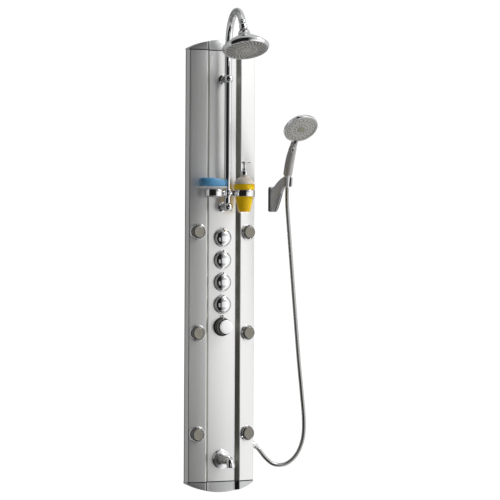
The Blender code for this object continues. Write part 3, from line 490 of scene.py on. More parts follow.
make_hose()


# ---------------------------------------------------------------- panel
HALF = 0.1225
SEAM_Z = 0.724
SHEET = 0.0018
CORNER = (0.12, -0.0358)
CREST = (0.064, -0.0487)
BULGE = 0.0008
CENTRE_HALF = 0.0504
CENTRE_EDGE = -0.0364
CENTRE_APEX = -0.0389
FLANGE_BACK = -0.018
JET_X = 0.093
JET_Z = (0.115, -0.225, -0.565)
KNOB_Z = [0.0955 - 0.075 * index for index in range(5)]
SPOUT_Z = -0.65
BRACKET_LOW = 0.1985
BRACKET_HIGH = 0.628
RISER_Y = -0.078
RISER_RADIUS = 0.012
RISER_BORE = 0.0104
JET_HOLE = 0.0254
UNION_HOLE = 0.007
KNOB_HOLE = 0.0135
PIPE_HOLE = 0.0085
HOLE_REACH = 0.012


def offset_path(path, distance):
    normals = []
    for (x0, y0), (x1, y1) in zip(path, path[1:]):
        length = math.hypot(x1 - x0, y1 - y0)
        normals.append(((y1 - y0) / length, -(x1 - x0) / length))
    moved = []
    for index, (x, y) in enumerate(path):
        before, after = normals[max(index - 1, 0)], normals[min(index, len(normals) - 1)]
        sum_x, sum_y = before[0] + after[0], before[1] + after[1]
        scale = 2.0 * distance / (sum_x * sum_x + sum_y * sum_y)
        moved.append((x + sum_x * scale, y + sum_y * scale))
    return moved


def wing_out():
    """Unit direction square to the right wing's front."""
    run_x, run_y = CREST[0] - CORNER[0], CREST[1] - CORNER[1]
    length = math.hypot(run_x, run_y)
    return -run_y / length, run_x / length


def wing_front(count):
    out_x, out_y = wing_out()
    points = []
    for index in range(count + 1):
        share = index / count
        bulge = BULGE * 4.0 * share * (1.0 - share)
        points.append((CORNER[0] + (CREST[0] - CORNER[0]) * share + out_x * bulge,
                       CORNER[1] + (CREST[1] - CORNER[1]) * share + out_y * bulge))
    return points


def wing_skin():
    """Right wing from the wall to the groove, with its corners rounded, and where the groove starts."""
    side = rounded([(0.108, 0.0), (HALF, 0.0), (HALF, -0.033), CORNER, wing_front(8)[1]],
                   [0, 0.003, 0.006, 0.004, 0], 6)
    front = wing_front(28)[4:-1]
    crest = rounded([front[-1], CREST, (0.0616, -0.0476), (0.0512, -0.037)], [0, 0.0016, 0.0016, 0], 5)
    line = side[:-1] + front + crest[1:]
    return line, len(line) - 4


def wing_outline():
    line, groove = wing_skin()
    outer = line + [(0.051, -0.0362), (0.051, FLANGE_BACK)]
    coarse = [(0.108, 0.0), (HALF, 0.0),
              (HALF, -0.033), CORNER] + wing_front(4)[1:-1] + [(0.0626, -0.0485), (0.0512, -0.037),
                      (0.051, -0.0362), (0.051, FLANGE_BACK)]
    inner = list(reversed(offset_path(coarse, SHEET)))
    return outer + inner, groove, len(outer)


def jet_place(side, z):
    out_x, out_y = wing_out()
    share = (JET_X - CORNER[0]) / (CREST[0] - CORNER[0])
    y = CORNER[1] + (CREST[1] - CORNER[1]) * share
    out = Vector((out_x * side, out_y, 0))
    return aimed(Vector((JET_X * side, y, z)) + out * BULGE, out)


# Depth of the dark strip of painted shade at the back of each wing's side.
REAR_SHADE_DEPTH = 0.008


def make_wing(name, side):
    outline, groove, outer = wing_outline()
    rear = next(index for index, point in enumerate(outline) if point[1] < -REAR_SHADE_DEPTH)
    outline.insert(rear, (HALF, -REAR_SHADE_DEPTH))
    points = [(x * side, y) for x, y in outline]
    wing = build(name + "_skin", [(prism(points, -SEAM_Z + GAP, SEAM_Z - GAP), 0)],
                 [ALUMINIUM, GROOVE_SHADE, REAR_EDGE_SHADE], 24)
    for index in range(outer + 1):
        # Faces past the crest, down into the groove, take the painted groove shade.
        if index > groove:
            wing.data.polygons[index].material_index = 1
        # The rearmost strip of the side takes the painted shade.
        elif index < rear:
            wing.data.polygons[index].material_index = 2
    holes = [lathe([(JET_HOLE, -HOLE_REACH), (JET_HOLE, HOLE_REACH)], 64, jet_place(side, z))
             for z in JET_Z]
    if side > 0:
        holes.append(lathe([(UNION_HOLE, -0.01), (UNION_HOLE, 0.01)], 32, aimed(OUTLET, (1, 0, 0))))
    cut(wing, holes, angle=24)
    tie(wing, PANEL, [name])


def centre_line(count):
    points = []
    for index in range(count + 1):
        share = 2.0 * index / count - 1.0
        points.append((CENTRE_HALF * share, CENTRE_APEX + (CENTRE_EDGE - CENTRE_APEX) * share * share))
    return points


def make_centre():
    front = centre_line(36)
    outer = rounded([(-CENTRE_HALF, FLANGE_BACK), front[0], front[1]], [0, 0.001, 0], 4)[:-1]
    outer += front[1:-1] + rounded([front[-2], front[-1], (CENTRE_HALF, FLANGE_BACK)],
                                   [0, 0.001, 0], 4)[1:]
    inner = [(CENTRE_HALF - SHEET, FLANGE_BACK)] + [(x * (1 - SHEET / CENTRE_HALF), y + SHEET)
                                                    for x, y in reversed(centre_line(12))]
    inner += [(-CENTRE_HALF + SHEET, FLANGE_BACK)]
    centre = build("centre_skin", [(prism(outer + inner, -SEAM_Z + GAP, SEAM_Z - GAP), 0)],
                   [ALUMINIUM], 24)
    holes = [lathe([(KNOB_HOLE, -0.008), (KNOB_HOLE, 0.008)], 40, facing_front(0, CENTRE_APEX, z))
             for z in KNOB_Z]
    for z in (BRACKET_LOW, SPOUT_Z):
        holes.append(lathe([(PIPE_HOLE, -0.008), (PIPE_HOLE, 0.008)], 40,
                           facing_front(0, CENTRE_APEX, z)))
    cut(centre, holes, angle=24)
    tie(centre, PANEL, ["centre_panel"])


CAP_SIDE = 0.731
CAP_RISE = 0.031
CAP_WALL = 0.003
# Height of the recessed band at the foot of each cap, painted black as the shade in the seam.
CAP_SHADE_BAND = 0.0026


def cap_top(x):
    radius = (HALF ** 2 + CAP_RISE ** 2) / (2.0 * CAP_RISE)
    return CAP_SIDE + math.sqrt(max(0.0, radius * radius - x * x)) - (radius - CAP_RISE)


def cap_front():
    """Front edge of the whole panel from left to right."""
    right = list(reversed(wing_skin()[0][3:]))
    left = [(-x, y) for x, y in reversed(right)]
    return left + centre_line(36)[1:-1] + right


def make_cap(name, sign):
    line = cap_front()
    line[0] = (-HALF, line[0][1])
    line[-1] = (HALF, line[-1][1])
    base = SEAM_Z + GAP
    edge = 0.0012
    rings = []
    for x, front in line:
        top = cap_top(x)
        inset = min(0.0012, abs(front) * 0.5)
        rings.append([(x, front + inset, base * sign), (x, front + inset, (base + CAP_SHADE_BAND) * sign),
                      (x, front, (base + CAP_SHADE_BAND + 0.0006) * sign), (x, front, (top - edge) * sign),
                      (x, front + edge * 0.3, (top - edge * 0.3) * sign), (x, front + edge, top * sign),
                      (x, 0.0, top * sign), (x, 0.0, base * sign)])
    cap = build(name + "_skin", [(loft(rings), 0)], [ALUMINIUM_CAP, BLACK, CAP_GROOVE_SHADE], 24)
    hollow = []
    for index in range(33):
        x = (HALF - CAP_WALL) * (2.0 * index / 32 - 1.0)
        near = min(line, key=lambda pair: abs(pair[0] - x))
        hollow.append([(x, near[1] + CAP_WALL, (SEAM_Z - 0.01) * sign),
                       (x, near[1] + CAP_WALL, (cap_top(x) - CAP_WALL) * sign),
                       (x, -CAP_WALL, (cap_top(x) - CAP_WALL) * sign), (x, -CAP_WALL, (SEAM_Z - 0.01)
                               * sign)])
    cut(cap, [loft(hollow)], angle=24)
    for face in cap.data.polygons:
        middle, normal = face.center, face.normal
        forward = normal.y < -0.2
        # Groove walls in the cap take the near-black painted groove shade.
        if forward and 0.0506 < abs(middle.x) < 0.0622 and abs(normal.x) > 0.4:
            face.material_index = 2
        # The recessed band above the seam takes black, painted seam shade.
        if forward and base + 0.0001 < abs(middle.z) < base + CAP_SHADE_BAND + 0.0004:
            face.material_index = 1
    tie(cap, PANEL, [name])


for side_name, side in (("wing_left", -1), ("wing_right", 1)):
    make_wing(side_name, side)
make_centre()
make_cap("cap_top", 1)
make_cap("cap_bottom", -1)


# ---------------------------------------------------------------- knobs
def follow_panel(points, place):
    """Bring the back of a round trim piece down to the curved front of the centre panel."""
    span = CENTRE_EDGE - CENTRE_APEX
    moved = []
    for x, y, z in points:
        if z < 0.0014:
            share = x / CENTRE_HALF
            z = -span * share * share + 1.6 * GAP + max(z, 0.0)
        moved.append(place @ Vector((x, y, z)))
    return moved


def trim_ring(place):
    profile = rounded([(0.015, 0.0012), (0.015, 0.0042), (0.0298, 0.0042), (0.0318, 0.0022),
                       (0.0318, -0.0004)],
                      0.0008, 4)
    points, faces = lathe(profile, 96, loop=True)
    return follow_panel(points, place), faces


def peg(place, low, high, radius, out):
    turn = place @ Matrix.Translation((0, 0, out)) @ Matrix.Rotation(math.radians(-90), 4, "X")
    profile = [(radius * 0.86, low), (radius * 0.86, high - 0.005), (radius, high - 0.004)]
    profile += [(radius * math.cos(a), high - radius * 0.55 + radius * 0.55 * math.sin(a))
                for a in [PI / 2 * k / 6 for k in range(6)]] + [(radius * 0.12, high)]
    return lathe(profile, 28, turn)


def dome_profile(base_radius, start, height, steps, shoulder):
    """Quarter of a flattened sphere that ends in a small flat at the middle."""
    points = []
    for index in range(steps + 1):
        turn = PI / 2 * index / steps
        points.append((base_radius * math.cos(turn) ** shoulder, start + height * math.sin(turn)))
    points[-1] = (0.0004, start + height)
    return points


for index, z in enumerate(KNOB_Z[:4]):
    front = facing_front(0, CENTRE_APEX, z)
    piece(f"trim_ring_{index + 1}", PANEL, [(trim_ring(front), 0)], [CHROME],
          [f"valve_trim_{index + 1}"])
    skirt = [(0.0054, 0.014), (0.0054, 0.0052), (0.0262, 0.0048), (0.0276, 0.005), (0.0284, 0.0058),
             (0.0286, 0.007)]
    knob = lathe(skirt + dome_profile(0.0286, 0.008, 0.0152, 20, 0.92), 96, front)
    piece(f"knob_{index + 1}_dome", f"knob_{index + 1}", [(knob, 0),
          (peg(front, 0.024, 0.0345, 0.0032, 0.0105), 0)],
          [CHROME], [f"valve_knob_{index + 1}"])


def make_thermostat():
    front = facing_front(0, CENTRE_APEX, KNOB_Z[4])
    piece("thermostat_base_ring", PANEL, [(trim_ring(front), 0)], [BLACK], ["thermostat_trim"])
    knurls = 48

    def knurled(radius, height, turn):
        if 0.013 < height < 0.0268:
            return radius - 0.0006 * (0.5 + 0.5 * math.cos(turn * knurls)) ** 2
        return radius

    grip = [(0.0054, 0.014), (0.0054, 0.005), (0.0268, 0.0048), (0.028, 0.0052), (0.0284, 0.0064),
            (0.0284, 0.01), (0.028, 0.011), (0.0266, 0.0116), (0.0262, 0.0124), (0.0264, 0.0136),
            (0.0264, 0.02), (0.0264, 0.0264), (0.026, 0.0276), (0.0256, 0.0284), (0.0254, 0.0296),
            (0.0244, 0.0304), (0.0232, 0.0308)]
    parts = [(lathe(grip, 240, front, ripple=knurled), 0), (peg(front, 0.024, 0.04, 0.0038, 0.0085), 1)]
    knob = piece("thermostat_knurled_grip", "thermostat", parts, [SATIN, CHROME, BLACK],
                 ["thermostat_grip"])
    inverse = front.inverted()
    for face in knob.data.polygons:
        spot = inverse @ face.center
        plain = spot.xy.length < 0.029 and face.material_index == 0
        if plain and (spot.z > 0.027 or 0.01 < spot.z < 0.013):
            face.material_index = 2
    cap = [(0.0226, 0.0314), (0.0231, 0.0318), (0.0233, 0.033), (0.0232, 0.0352), (0.0226, 0.0366)]
    cap += dome_profile(0.0218, 0.037, 0.0034, 12, 1.0)
    piece("thermostat_pearl_cap", "thermostat", [(lathe(cap, 96, front), 0)], [PEARL_GLOW],
          ["thermostat_cap"])


make_thermostat()


# ---------------------------------------------------------------- body jets
def jet_face_dots(place, height, radius):
    """Rows of small raised spray holes on a jet's flat face."""
    dots = []
    pitch = 0.0027
    rows = int(radius / pitch)
    for row in range(-rows, rows + 1):
        y = row * pitch * 0.866
        for column in range(-rows, rows + 1):
            x = column * pitch + (pitch / 2 if row % 2 else 0.0)
            if math.hypot(x, y) < radius:
                spot = place @ Matrix.Translation((x, y, height))
                dots.append(lathe([(0.00085, -0.0002), (0.0008, 0.0004), (0.00045, 0.0005),
                                   (0.0004, 0.0001)], 8, spot))
    return dots


def make_jet(name, side, z):
    place = jet_place(side, z)
    ring = rounded([(0.025, 0.0004), (0.0276, 0.0004), (0.0276, 0.003), (0.0256, 0.0064),
                    (0.024, 0.0062), (0.0234, 0.0046), (0.0234, -0.0075), (0.025, -0.0075),
                    (0.025, 0.0004)], 0.0009, 4)
    piece(f"jet_bezel_{name}", PANEL, [(lathe(ring[:-1], 96, place, loop=True), 0)], [CHROME],
          [f"jet_ring_{name}"])
    centre = place @ Vector((0, 0, 0.003))
    front = facing_front(*centre)
    radius = 0.0228
    ball = [(radius * math.cos(math.radians(a)), radius * math.sin(math.radians(a)))
            for a in range(-36, 32, 4)]
    face = rounded([ball[-1], (0.0186, 0.0128), (0.0172, 0.0134), (0.0166, 0.013), (0.016, 0.0126),
                    (0.0006, 0.0126)],
                   0.0005, 3)
    parts = [(lathe(ball[:-1] + face, 72, front), 0)]
    parts += [(dot, 1) for dot in jet_face_dots(front, 0.0126, 0.015)]
    nozzle = piece(f"jet_ball_{name}", f"jet_{name}", parts, [NOZZLE, NUB, JET_SIDE_SHADE],
                   [f"jet_nozzle_{name}"])
    inverse = front.inverted()
    for part in nozzle.data.polygons:
        spot = inverse @ part.center
        # The ball's side round the face takes the dark painted gap shade.
        if part.material_index == 0 and (spot.xy.length > 0.0176 or spot.z < 0.006):
            part.material_index = 2


for side_name, side in (("left", -1), ("right", 1)):
    for index, z in enumerate(JET_Z):
        make_jet(f"{side_name}_{index + 1}", side, z)


# ---------------------------------------------------------------- riser, arm and rain head
ARM_YAW = math.radians(12.0)
ARM_LEAD_Z = 0.6881
ARM_LEAD_RADIUS = 0.3
ARM_LEAD_TURN = math.radians(15.0)
ARM_BEND = 0.104
ARM_TURN = math.radians(141.0)
BALL_OFFSET = 0.023
BALL_RADIUS = 0.0095
HEAD_LEAN = math.radians(20.0)
HEAD_YAW = math.radians(6.0)


def arm_point(reach, z):
    return Vector((-reach * math.sin(ARM_YAW), RISER_Y - reach * math.cos(ARM_YAW), z))


def leaning(lean, yaw):
    out = math.sin(lean)
    return Vector((-out * math.sin(yaw), -out * math.cos(yaw), -math.cos(lean)))


def arm_direction(lean):
    return leaning(lean, ARM_YAW)


def arm_path():
    points = [arm_point(0, BRACKET_HIGH + GAP), arm_point(0, ARM_LEAD_Z)]
    for index in range(1, 13):
        turn = ARM_LEAD_TURN * index / 12
        points.append(arm_point(ARM_LEAD_RADIUS * (1 - math.cos(turn)),
                                ARM_LEAD_Z + ARM_LEAD_RADIUS * math.sin(turn)))
    reach = ARM_LEAD_RADIUS * (1 - math.cos(ARM_LEAD_TURN))
    height = ARM_LEAD_Z + ARM_LEAD_RADIUS * math.sin(ARM_LEAD_TURN)
    for index in range(1, 49):
        turn = ARM_LEAD_TURN + (ARM_TURN - ARM_LEAD_TURN) * index / 48
        points.append(arm_point(reach + ARM_BEND * (math.cos(ARM_LEAD_TURN) - math.cos(turn)),
                                height + ARM_BEND * (math.sin(turn) - math.sin(ARM_LEAD_TURN))))
    points.append(points[-1] + arm_direction(PI - ARM_TURN) * 0.002)
    return points


def make_bracket(name, z, through):
    front = facing_front(0, CENTRE_APEX, z)
    start, radius = 0.043, 0.0155
    nose = [(radius * math.cos(PI / 2 * k / 14), start + 0.0172 * math.sin(PI / 2 * k / 14))
            for k in range(14)]
    body = rounded([(0.006, 0.0004), (0.0168, 0.0004), (0.0168, 0.0026), (0.014, 0.0044),
                    (0.0118, 0.006), (0.0118, 0.0186), (0.014, 0.0212), (radius, 0.0238),
                    (radius, start)], 0.001, 4)
    bracket = build(name + "_cast", [(lathe(body[:-1] + nose + [(0.0005, start + 0.0172)], 72, front),
                                      0)], [CHROME])
    low = -0.03 if through else 0.0025
    cut(bracket, [lathe([(RISER_RADIUS + GAP, low), (RISER_RADIUS + GAP, 0.03)], 64,
                        Matrix.Translation((0, RISER_Y, z)))])
    tie(bracket, PANEL, [name])


def make_riser():
    path = [Vector((0, RISER_Y, BRACKET_LOW + 0.003 + 0.02 * k)) for k in range(22)]
    path[-1] = Vector((0, RISER_Y, BRACKET_HIGH - GAP))
    piece("riser_tube", PANEL, [(sweep(path, RISER_RADIUS, 64, RISER_BORE), 0)], [CHROME],
          ["riser_pipe"])
    make_bracket("riser_bracket_low", BRACKET_LOW, False)
    make_bracket("riser_bracket_high", BRACKET_HIGH, True)


def make_arm():
    path = arm_path()
    direction = arm_direction(PI - ARM_TURN)
    piece("arm_tube", "arm", [(sweep(path, RISER_RADIUS, 64, RISER_BORE), 0)], [CHROME],
          ["overhead_arm"])
    place = aimed(path[-1], direction)
    stem = rounded([(0.005, GAP), (0.0122, GAP), (0.0122, 0.003), (0.0108, 0.0038), (0.0104, 0.0046),
                    (0.011, 0.0054), (0.011, 0.0084), (0.01, 0.0104), (0.0056, 0.0112),
                    (0.0056, 0.015)], 0.0006, 3)
    ball = []
    for step in range(17):
        turn = math.radians(-52 + 138 * step / 16)
        ball.append((BALL_RADIUS * math.cos(turn), BALL_OFFSET + BALL_RADIUS * math.sin(turn)))
    piece("arm_ball", "arm", [(lathe(stem + ball, 64, place), 0)], [CHROME], ["ball_stud"])
    return path[-1] + direction * BALL_OFFSET


def plate_height(radius):
    """Height of the rain head's slightly crowned face above its joint."""
    return 0.0876 - 0.003 * (radius / 0.0708) ** 2


def spiral_nozzles(place, arms, first, last, rows, twist, size):
    """Rows of soft nozzles that run outwards along gently turning lines."""
    nubs, holes = [], []
    for arm in range(arms):
        for row in range(rows):
            share = row / max(1, rows - 1)
            radius = first + (last - first) * share
            turn = 2 * PI * arm / arms + twist * share
            spot = place @ Matrix.Translation((radius * math.cos(turn), radius * math.sin(turn),
                                              plate_height(radius)))
            nubs.append(lathe([(size, -0.0006), (size * 0.92, 0.0002), (size * 0.7, 0.0012),
                               (size * 0.42, 0.0014)], 10, spot))
            holes.append(lathe([(size * 0.4, 0.0011), (size * 0.4, 0.00145), (size * 0.05, 0.00145)], 8,
                               spot))
    return nubs, holes


def make_rain_head(ball):
    place = aimed(ball, leaning(HEAD_LEAN, HEAD_YAW))
    collar = rounded([(0.009, -0.0046), (0.0087, -0.006), (0.0122, -0.006), (0.0134, -0.0032),
                      (0.0134, 0.0004), (0.0127, 0.0012), (0.0127, 0.0024), (0.0134, 0.0032),
                      (0.0134, 0.0066), (0.0118, 0.009), (0.0118, 0.0106), (0.015, 0.0156),
                      (0.0184, 0.0212), (0.0184, 0.022), (0.0178, 0.0224), (0.006, 0.0224),
                      (0.006, 0.008), (0.0088, 0.0052), (0.0098, 0.0025), (0.01, 0.0),
                      (0.0098, -0.0025), (0.009, -0.0046)], 0.0005, 3)
    nut = piece("head_nut", "head_collar", [(lathe(collar[:-1], 64, place, loop=True), 0)],
                [CHROME, CONE_GREY], ["ball_collar"])
    inverse = place.inverted()
    for face in nut.data.polygons:
        spot = inverse @ face.center
        if 0.0104 < spot.z < 0.0223 and spot.xy.length > 0.011:
            face.material_index = 1
    outside = rounded([(0.018, 0.0228), (0.019, 0.0229), (0.0198, 0.027), (0.0208, 0.0306),
                       (0.024, 0.0352), (0.029, 0.0394), (0.035, 0.043), (0.043, 0.0476),
                       (0.051, 0.0526), (0.059, 0.0584), (0.066, 0.0641), (0.0715, 0.0688),
                       (0.0754, 0.0726), (0.0774, 0.075), (0.0776, 0.0764), (0.0772, 0.0786),
                       (0.075, 0.0824), (0.0728, 0.0856), (0.0722, 0.0861), (0.0714, 0.0861),
                       (0.0712, 0.0855), (0.0712, 0.08)], 0.004, 4)
    inside = [(0.062, 0.07), (0.042, 0.0545), (0.015, 0.0425)]
    piece("rain_head_dome", "rain_head", [(lathe(outside + inside, 144, place), 0)], [CHROME],
          ["rain_head_shell"], angle=40)
    rim = [(0.004, 0.0812), (0.0708, 0.0812), (0.0708, 0.0846), (0.0702, 0.0852), (0.0686, 0.0852),
           (0.068, 0.0847)]
    crown = [(radius / 1000, plate_height(radius / 1000)) for radius in range(66, 11, -6)]
    hub = [(0.011, 0.0876), (0.0104, 0.087), (0.0085, 0.087), (0.008, 0.0876), (0.0006, 0.0878)]
    parts = [(lathe(rounded(rim + crown + hub, 0.0004, 2), 144, place), 0)]
    for group in ((26, 0.037, 0.064, 5, 0.45, 0.002), (13, 0.016, 0.03, 3, 0.4, 0.0018)):
        nubs, holes = spiral_nozzles(place, *group)
        parts += [(nub, 1) for nub in nubs] + [(hole, 2) for hole in holes]
    for arms, first, last, thick in ((26, 0.034, 0.0665, 0.0019), (13, 0.0135, 0.031, 0.0015)):
        for arm in range(arms):
            ridge = []
            for step in range(11):
                radius = first + (last - first) * step / 10
                turn = 2 * PI * (arm + 0.5) / arms + 0.45 * (radius - first) / (last - first)
                ridge.append(place @ Vector((radius * math.cos(turn), radius * math.sin(turn),
                                             plate_height(radius) - 0.0008)))
            parts.append((sweep(ridge, [0.0006] + [thick * (0.7 + 0.04 * step) for step in range(9)]
                                + [0.0008], 8), 3))
    piece("rain_head_nozzle_plate", "rain_head", parts,
          [HEAD_FACE, NOZZLE_LIGHT, DARK_DOT_AND_SHADE, BROWN_DOT_AND_REFLECTION],
          ["rain_head_face"])


make_riser()
BALL = make_arm()
make_rain_head(BALL)


# ---------------------------------------------------------------- holder, dish, soap and bottle
HOLDER_LOW = 0.2339
HOLDER_HIGH = 0.2554
HOLDER_Y = -0.096
DISH_X = -0.058
BOTTLE_X = 0.0535


def make_holder():
    low, high = HOLDER_LOW, HOLDER_HIGH
    middle = (low + high) / 2
    clamp = build("holder_cast",
                  [(lathe(rounded([(0.003, low), (0.017, low), (0.017, high), (0.003, high)], 0.0012,
                                  4),
                                         64, Matrix.Translation((0, RISER_Y, 0))), 0)], [CHROME])
    discs = []
    for x, outer in ((DISH_X, 0.0302), (BOTTLE_X, 0.0358)):
        discs.append(lathe(rounded([(0.003, low), (outer, low), (outer, high), (0.003, high)], 0.0009,
                                   4), 96,
                           Matrix.Translation((x, HOLDER_Y, 0))))
        direction = Vector((x, HOLDER_Y - RISER_Y, 0)).normalized()
        across = Vector((-direction.y, direction.x, 0)) * 0.0036
        start, end = Vector((0, RISER_Y, 0)), Vector((x, HOLDER_Y, 0))
        outline = [start + across, start - across, end - across, end + across]
        discs.append(prism([(p.x, p.y) for p in outline], low + 0.003, high - 0.003))
    screw = aimed((0, RISER_Y, middle), (0, -1, 0))
    discs.append(lathe(rounded([(0.0005, 0.012), (0.0064, 0.012), (0.0064, 0.017), (0.0058, 0.0176),
                                (0.0058, 0.0226), (0.0048, 0.024),
                                (0.0005, 0.0244)], 0.0006, 3), 40, screw))
    cut(clamp, discs, "UNION")
    holes = [lathe([(RISER_RADIUS + 0.0005, low - 0.01), (RISER_RADIUS + 0.0005, high + 0.01)], 64,
                   Matrix.Translation((0, RISER_Y, 0)))]
    for x, inner in ((DISH_X, 0.0282), (BOTTLE_X, 0.0336)):
        holes.append(lathe([(inner, low - 0.01), (inner, high + 0.01)], 96,
                           Matrix.Translation((x, HOLDER_Y, 0))))
    cut(clamp, holes)
    tie(clamp, "holder", ["accessory_holder"])


def oval(x, half_x, half_y, z, steps, wave=0.0, power=1.0):
    ring = []
    for step in range(steps):
        turn = 2 * PI * step / steps
        cx, cy = math.cos(turn), math.sin(turn)
        cx = math.copysign(abs(cx) ** power, cx)
        cy = math.copysign(abs(cy) ** power, cy)
        lift = wave * math.cos(2 * turn)
        ring.append((x + half_x * cx, HOLDER_Y + half_y * cy, z + lift))
    return ring


def spaced(rows, count):
    """Smooth in-between rows through the given rows of numbers."""
    result = []
    for index in range(len(rows) - 1):
        a, b = rows[max(index - 1, 0)], rows[index]
        c, d = rows[index + 1], rows[min(index + 2, len(rows) - 1)]
        for step in range(count):
            t = step / count
            result.append([0.5 * (2 * q + (r - p) * t + (2 * p - 5 * q + 4 * r - s) * t * t
                                  + (3 * q - p - 3 * r + s) * t ** 3)
                           for p, q, r, s in zip(a, b, c, d)])
    result.append(list(rows[-1]))
    return result


def make_dish():
    outside = [(-0.058, 0.006, 0.006, 0.2297, 0), (-0.058, 0.0225, 0.0225, 0.2297, 0),
               (-0.058, 0.0262, 0.0262, 0.233, 0), (-0.058, 0.0272, 0.0272, 0.24, 0),
               (-0.058, 0.0272, 0.0272, 0.2556, 0), (-0.059, 0.0326, 0.031, 0.2572, 0.0002),
               (-0.064, 0.0444, 0.0356, 0.2596, 0.0005), (-0.0686, 0.0522, 0.0396, 0.263, 0.0007),
               (-0.0692, 0.0536, 0.0404, 0.265, 0.0007)]
    lip = [(-0.0692, 0.0534, 0.0402, 0.266, 0.0007), (-0.0691, 0.0524, 0.0393, 0.266, 0.0007)]
    inside = [(-0.068, 0.0492, 0.0368, 0.2638, 0.0006), (-0.065, 0.044, 0.033, 0.2618, 0.0003),
              (-0.063, 0.03, 0.025, 0.261, 0), (-0.06, 0.005, 0.005, 0.2608, 0)]
    rows = spaced(outside, 3)[:-1] + spaced(lip, 2)[:-1] + spaced(inside, 4)
    rings = [oval(*row[:4], 80, row[4]) for row in rows]
    piece("dish_bowl", "dish", [(loft(rings), 0)], [FROSTED], ["soap_dish"], angle=50)


def make_soap():
    layers = [(-0.0655, 0.03, 0.017, 0.2615), (-0.0655, 0.0392, 0.0246, 0.263),
              (-0.0655, 0.0436, 0.0284, 0.2676), (-0.0657, 0.046, 0.0299, 0.277),
              (-0.0657, 0.046, 0.0298, 0.285), (-0.0657, 0.0445, 0.0285, 0.2905),
              (-0.0657, 0.0405, 0.025, 0.2935), (-0.0657, 0.034, 0.02, 0.2938),
              (-0.0657, 0.018, 0.0105, 0.2924), (-0.0657, 0.002, 0.0012, 0.292)]
    base_z, height, middle_x, half_x, wear = 0.2615, 0.0325, -0.0657, 0.046, 0.0058
    rings = []
    for layer in spaced(layers, 4):
        ring = []
        for x, y, z in oval(*layer, 72, 0.0, 0.9):
            fall = wear * (x - middle_x) / half_x * ((z - base_z) / height)
            ripple = 0.0004 * noise.noise(Vector((x, y, z)) * 60.0)
            ring.append((x, y, z - max(fall, -0.0006) + ripple))
        rings.append(ring)
    piece("soap_cake", "soap", [(loft(rings), 0)], [SOAP], ["soap_bar"], angle=60)


BOTTLE_PROFILE = [(0.012, 0.1803), (0.0165, 0.18), (0.02, 0.1812), (0.0212, 0.185), (0.0234, 0.195),
                  (0.0258, 0.205), (0.0284, 0.218), (0.0306, 0.231), (0.032, 0.244), (0.0331, 0.2556),
                  (0.034, 0.2578), (0.0353, 0.2608), (0.0358, 0.266), (0.0354, 0.272), (0.0346, 0.2756),
                  (0.0326, 0.2814), (0.0298, 0.2868), (0.025, 0.2925), (0.0188, 0.2968),
                  (0.014, 0.2986), (0.0118, 0.2996), (0.0114, 0.3006), (0.0112, 0.3045)]


def make_bottle():
    place = Matrix.Translation((BOTTLE_X, HOLDER_Y, 0))
    wall = 0.0012
    outside = spaced(BOTTLE_PROFILE, 3)
    inside = [(max(radius - wall, 0.002), max(height, 0.1818) if height < 0.19 else height - 0.0004)
              for radius, height in outside if radius < 0.0359]
    shell = [tuple(row) for row in outside] + list(reversed(inside))
    bottle = piece("bottle_shell", "bottle", [(lathe(shell, 96, place), 0)],
                   [BOTTLE, SHOULDER],
                   ["soap_bottle"], angle=50)
    for face in bottle.data.polygons:
        if face.center.z > 0.2757:
            face.material_index = 1
    spare = wall + 0.0004
    column = [(radius - spare, max(height, 0.1822)) for radius, height in outside if height < 0.276]
    level = column[-1][1]
    column = [(0.003, 0.1822)] + column + [(column[-1][0] - 0.0004, level + 0.0003),
                                           (0.003, level + 0.0003)]
    piece("bottle_soap_level", "bottle", [(lathe(column, 96, place, loop=True), 0)],
          [LIQUID_GLOW],
          ["bottle_liquid"], angle=50)


def make_pump():
    place = Matrix.Translation((BOTTLE_X, HOLDER_Y, 0))
    ribs = 36

    def ribbed(radius, height, turn):
        if 0.307 < height < 0.3165 and radius > 0.01:
            return radius - 0.0004 * (0.5 + 0.5 * math.cos(turn * ribs))
        return radius

    collar = rounded([(0.0024, 0.188), (0.0034, 0.188), (0.0034, 0.304), (0.011, 0.3049),
                      (0.0116, 0.306), (0.0116, 0.3176), (0.0108, 0.319), (0.0086, 0.3212),
                      (0.0078, 0.3226), (0.0072, 0.328), (0.0042, 0.328), (0.0042, 0.3095),
                      (0.0006, 0.3095)], 0.0004, 3)
    piece("pump_screw_collar", "bottle", [(lathe(collar, 144, place, ripple=ribbed), 0)],
          [CHROME], ["pump_collar"])
    head = rounded([(0.0006, 0.3203), (0.0037, 0.3203), (0.0037, 0.34), (0.0052, 0.3425),
                    (0.0092, 0.347), (0.0104, 0.349), (0.0105, 0.3504), (0.0092, 0.3514),
                    (0.004, 0.3521), (0.0005, 0.3522)], 0.0006, 3)
    spray = aimed((BOTTLE_X, HOLDER_Y, 0.3482), (1, -0.25, 0.02))
    spout = rounded([(0.003, 0.004), (0.0031, 0.018), (0.0029, 0.0226), (0.002, 0.0232),
                     (0.0016, 0.0226), (0.0016, 0.019)], 0.0004, 3)
    piece("pump_press_head", "pump", [(lathe(head, 64, place), 0),
          (lathe(spout, 32, spray), 0)], [CHROME],
          ["pump_head"])


make_holder()
make_dish()
make_soap()
make_bottle()
make_pump()


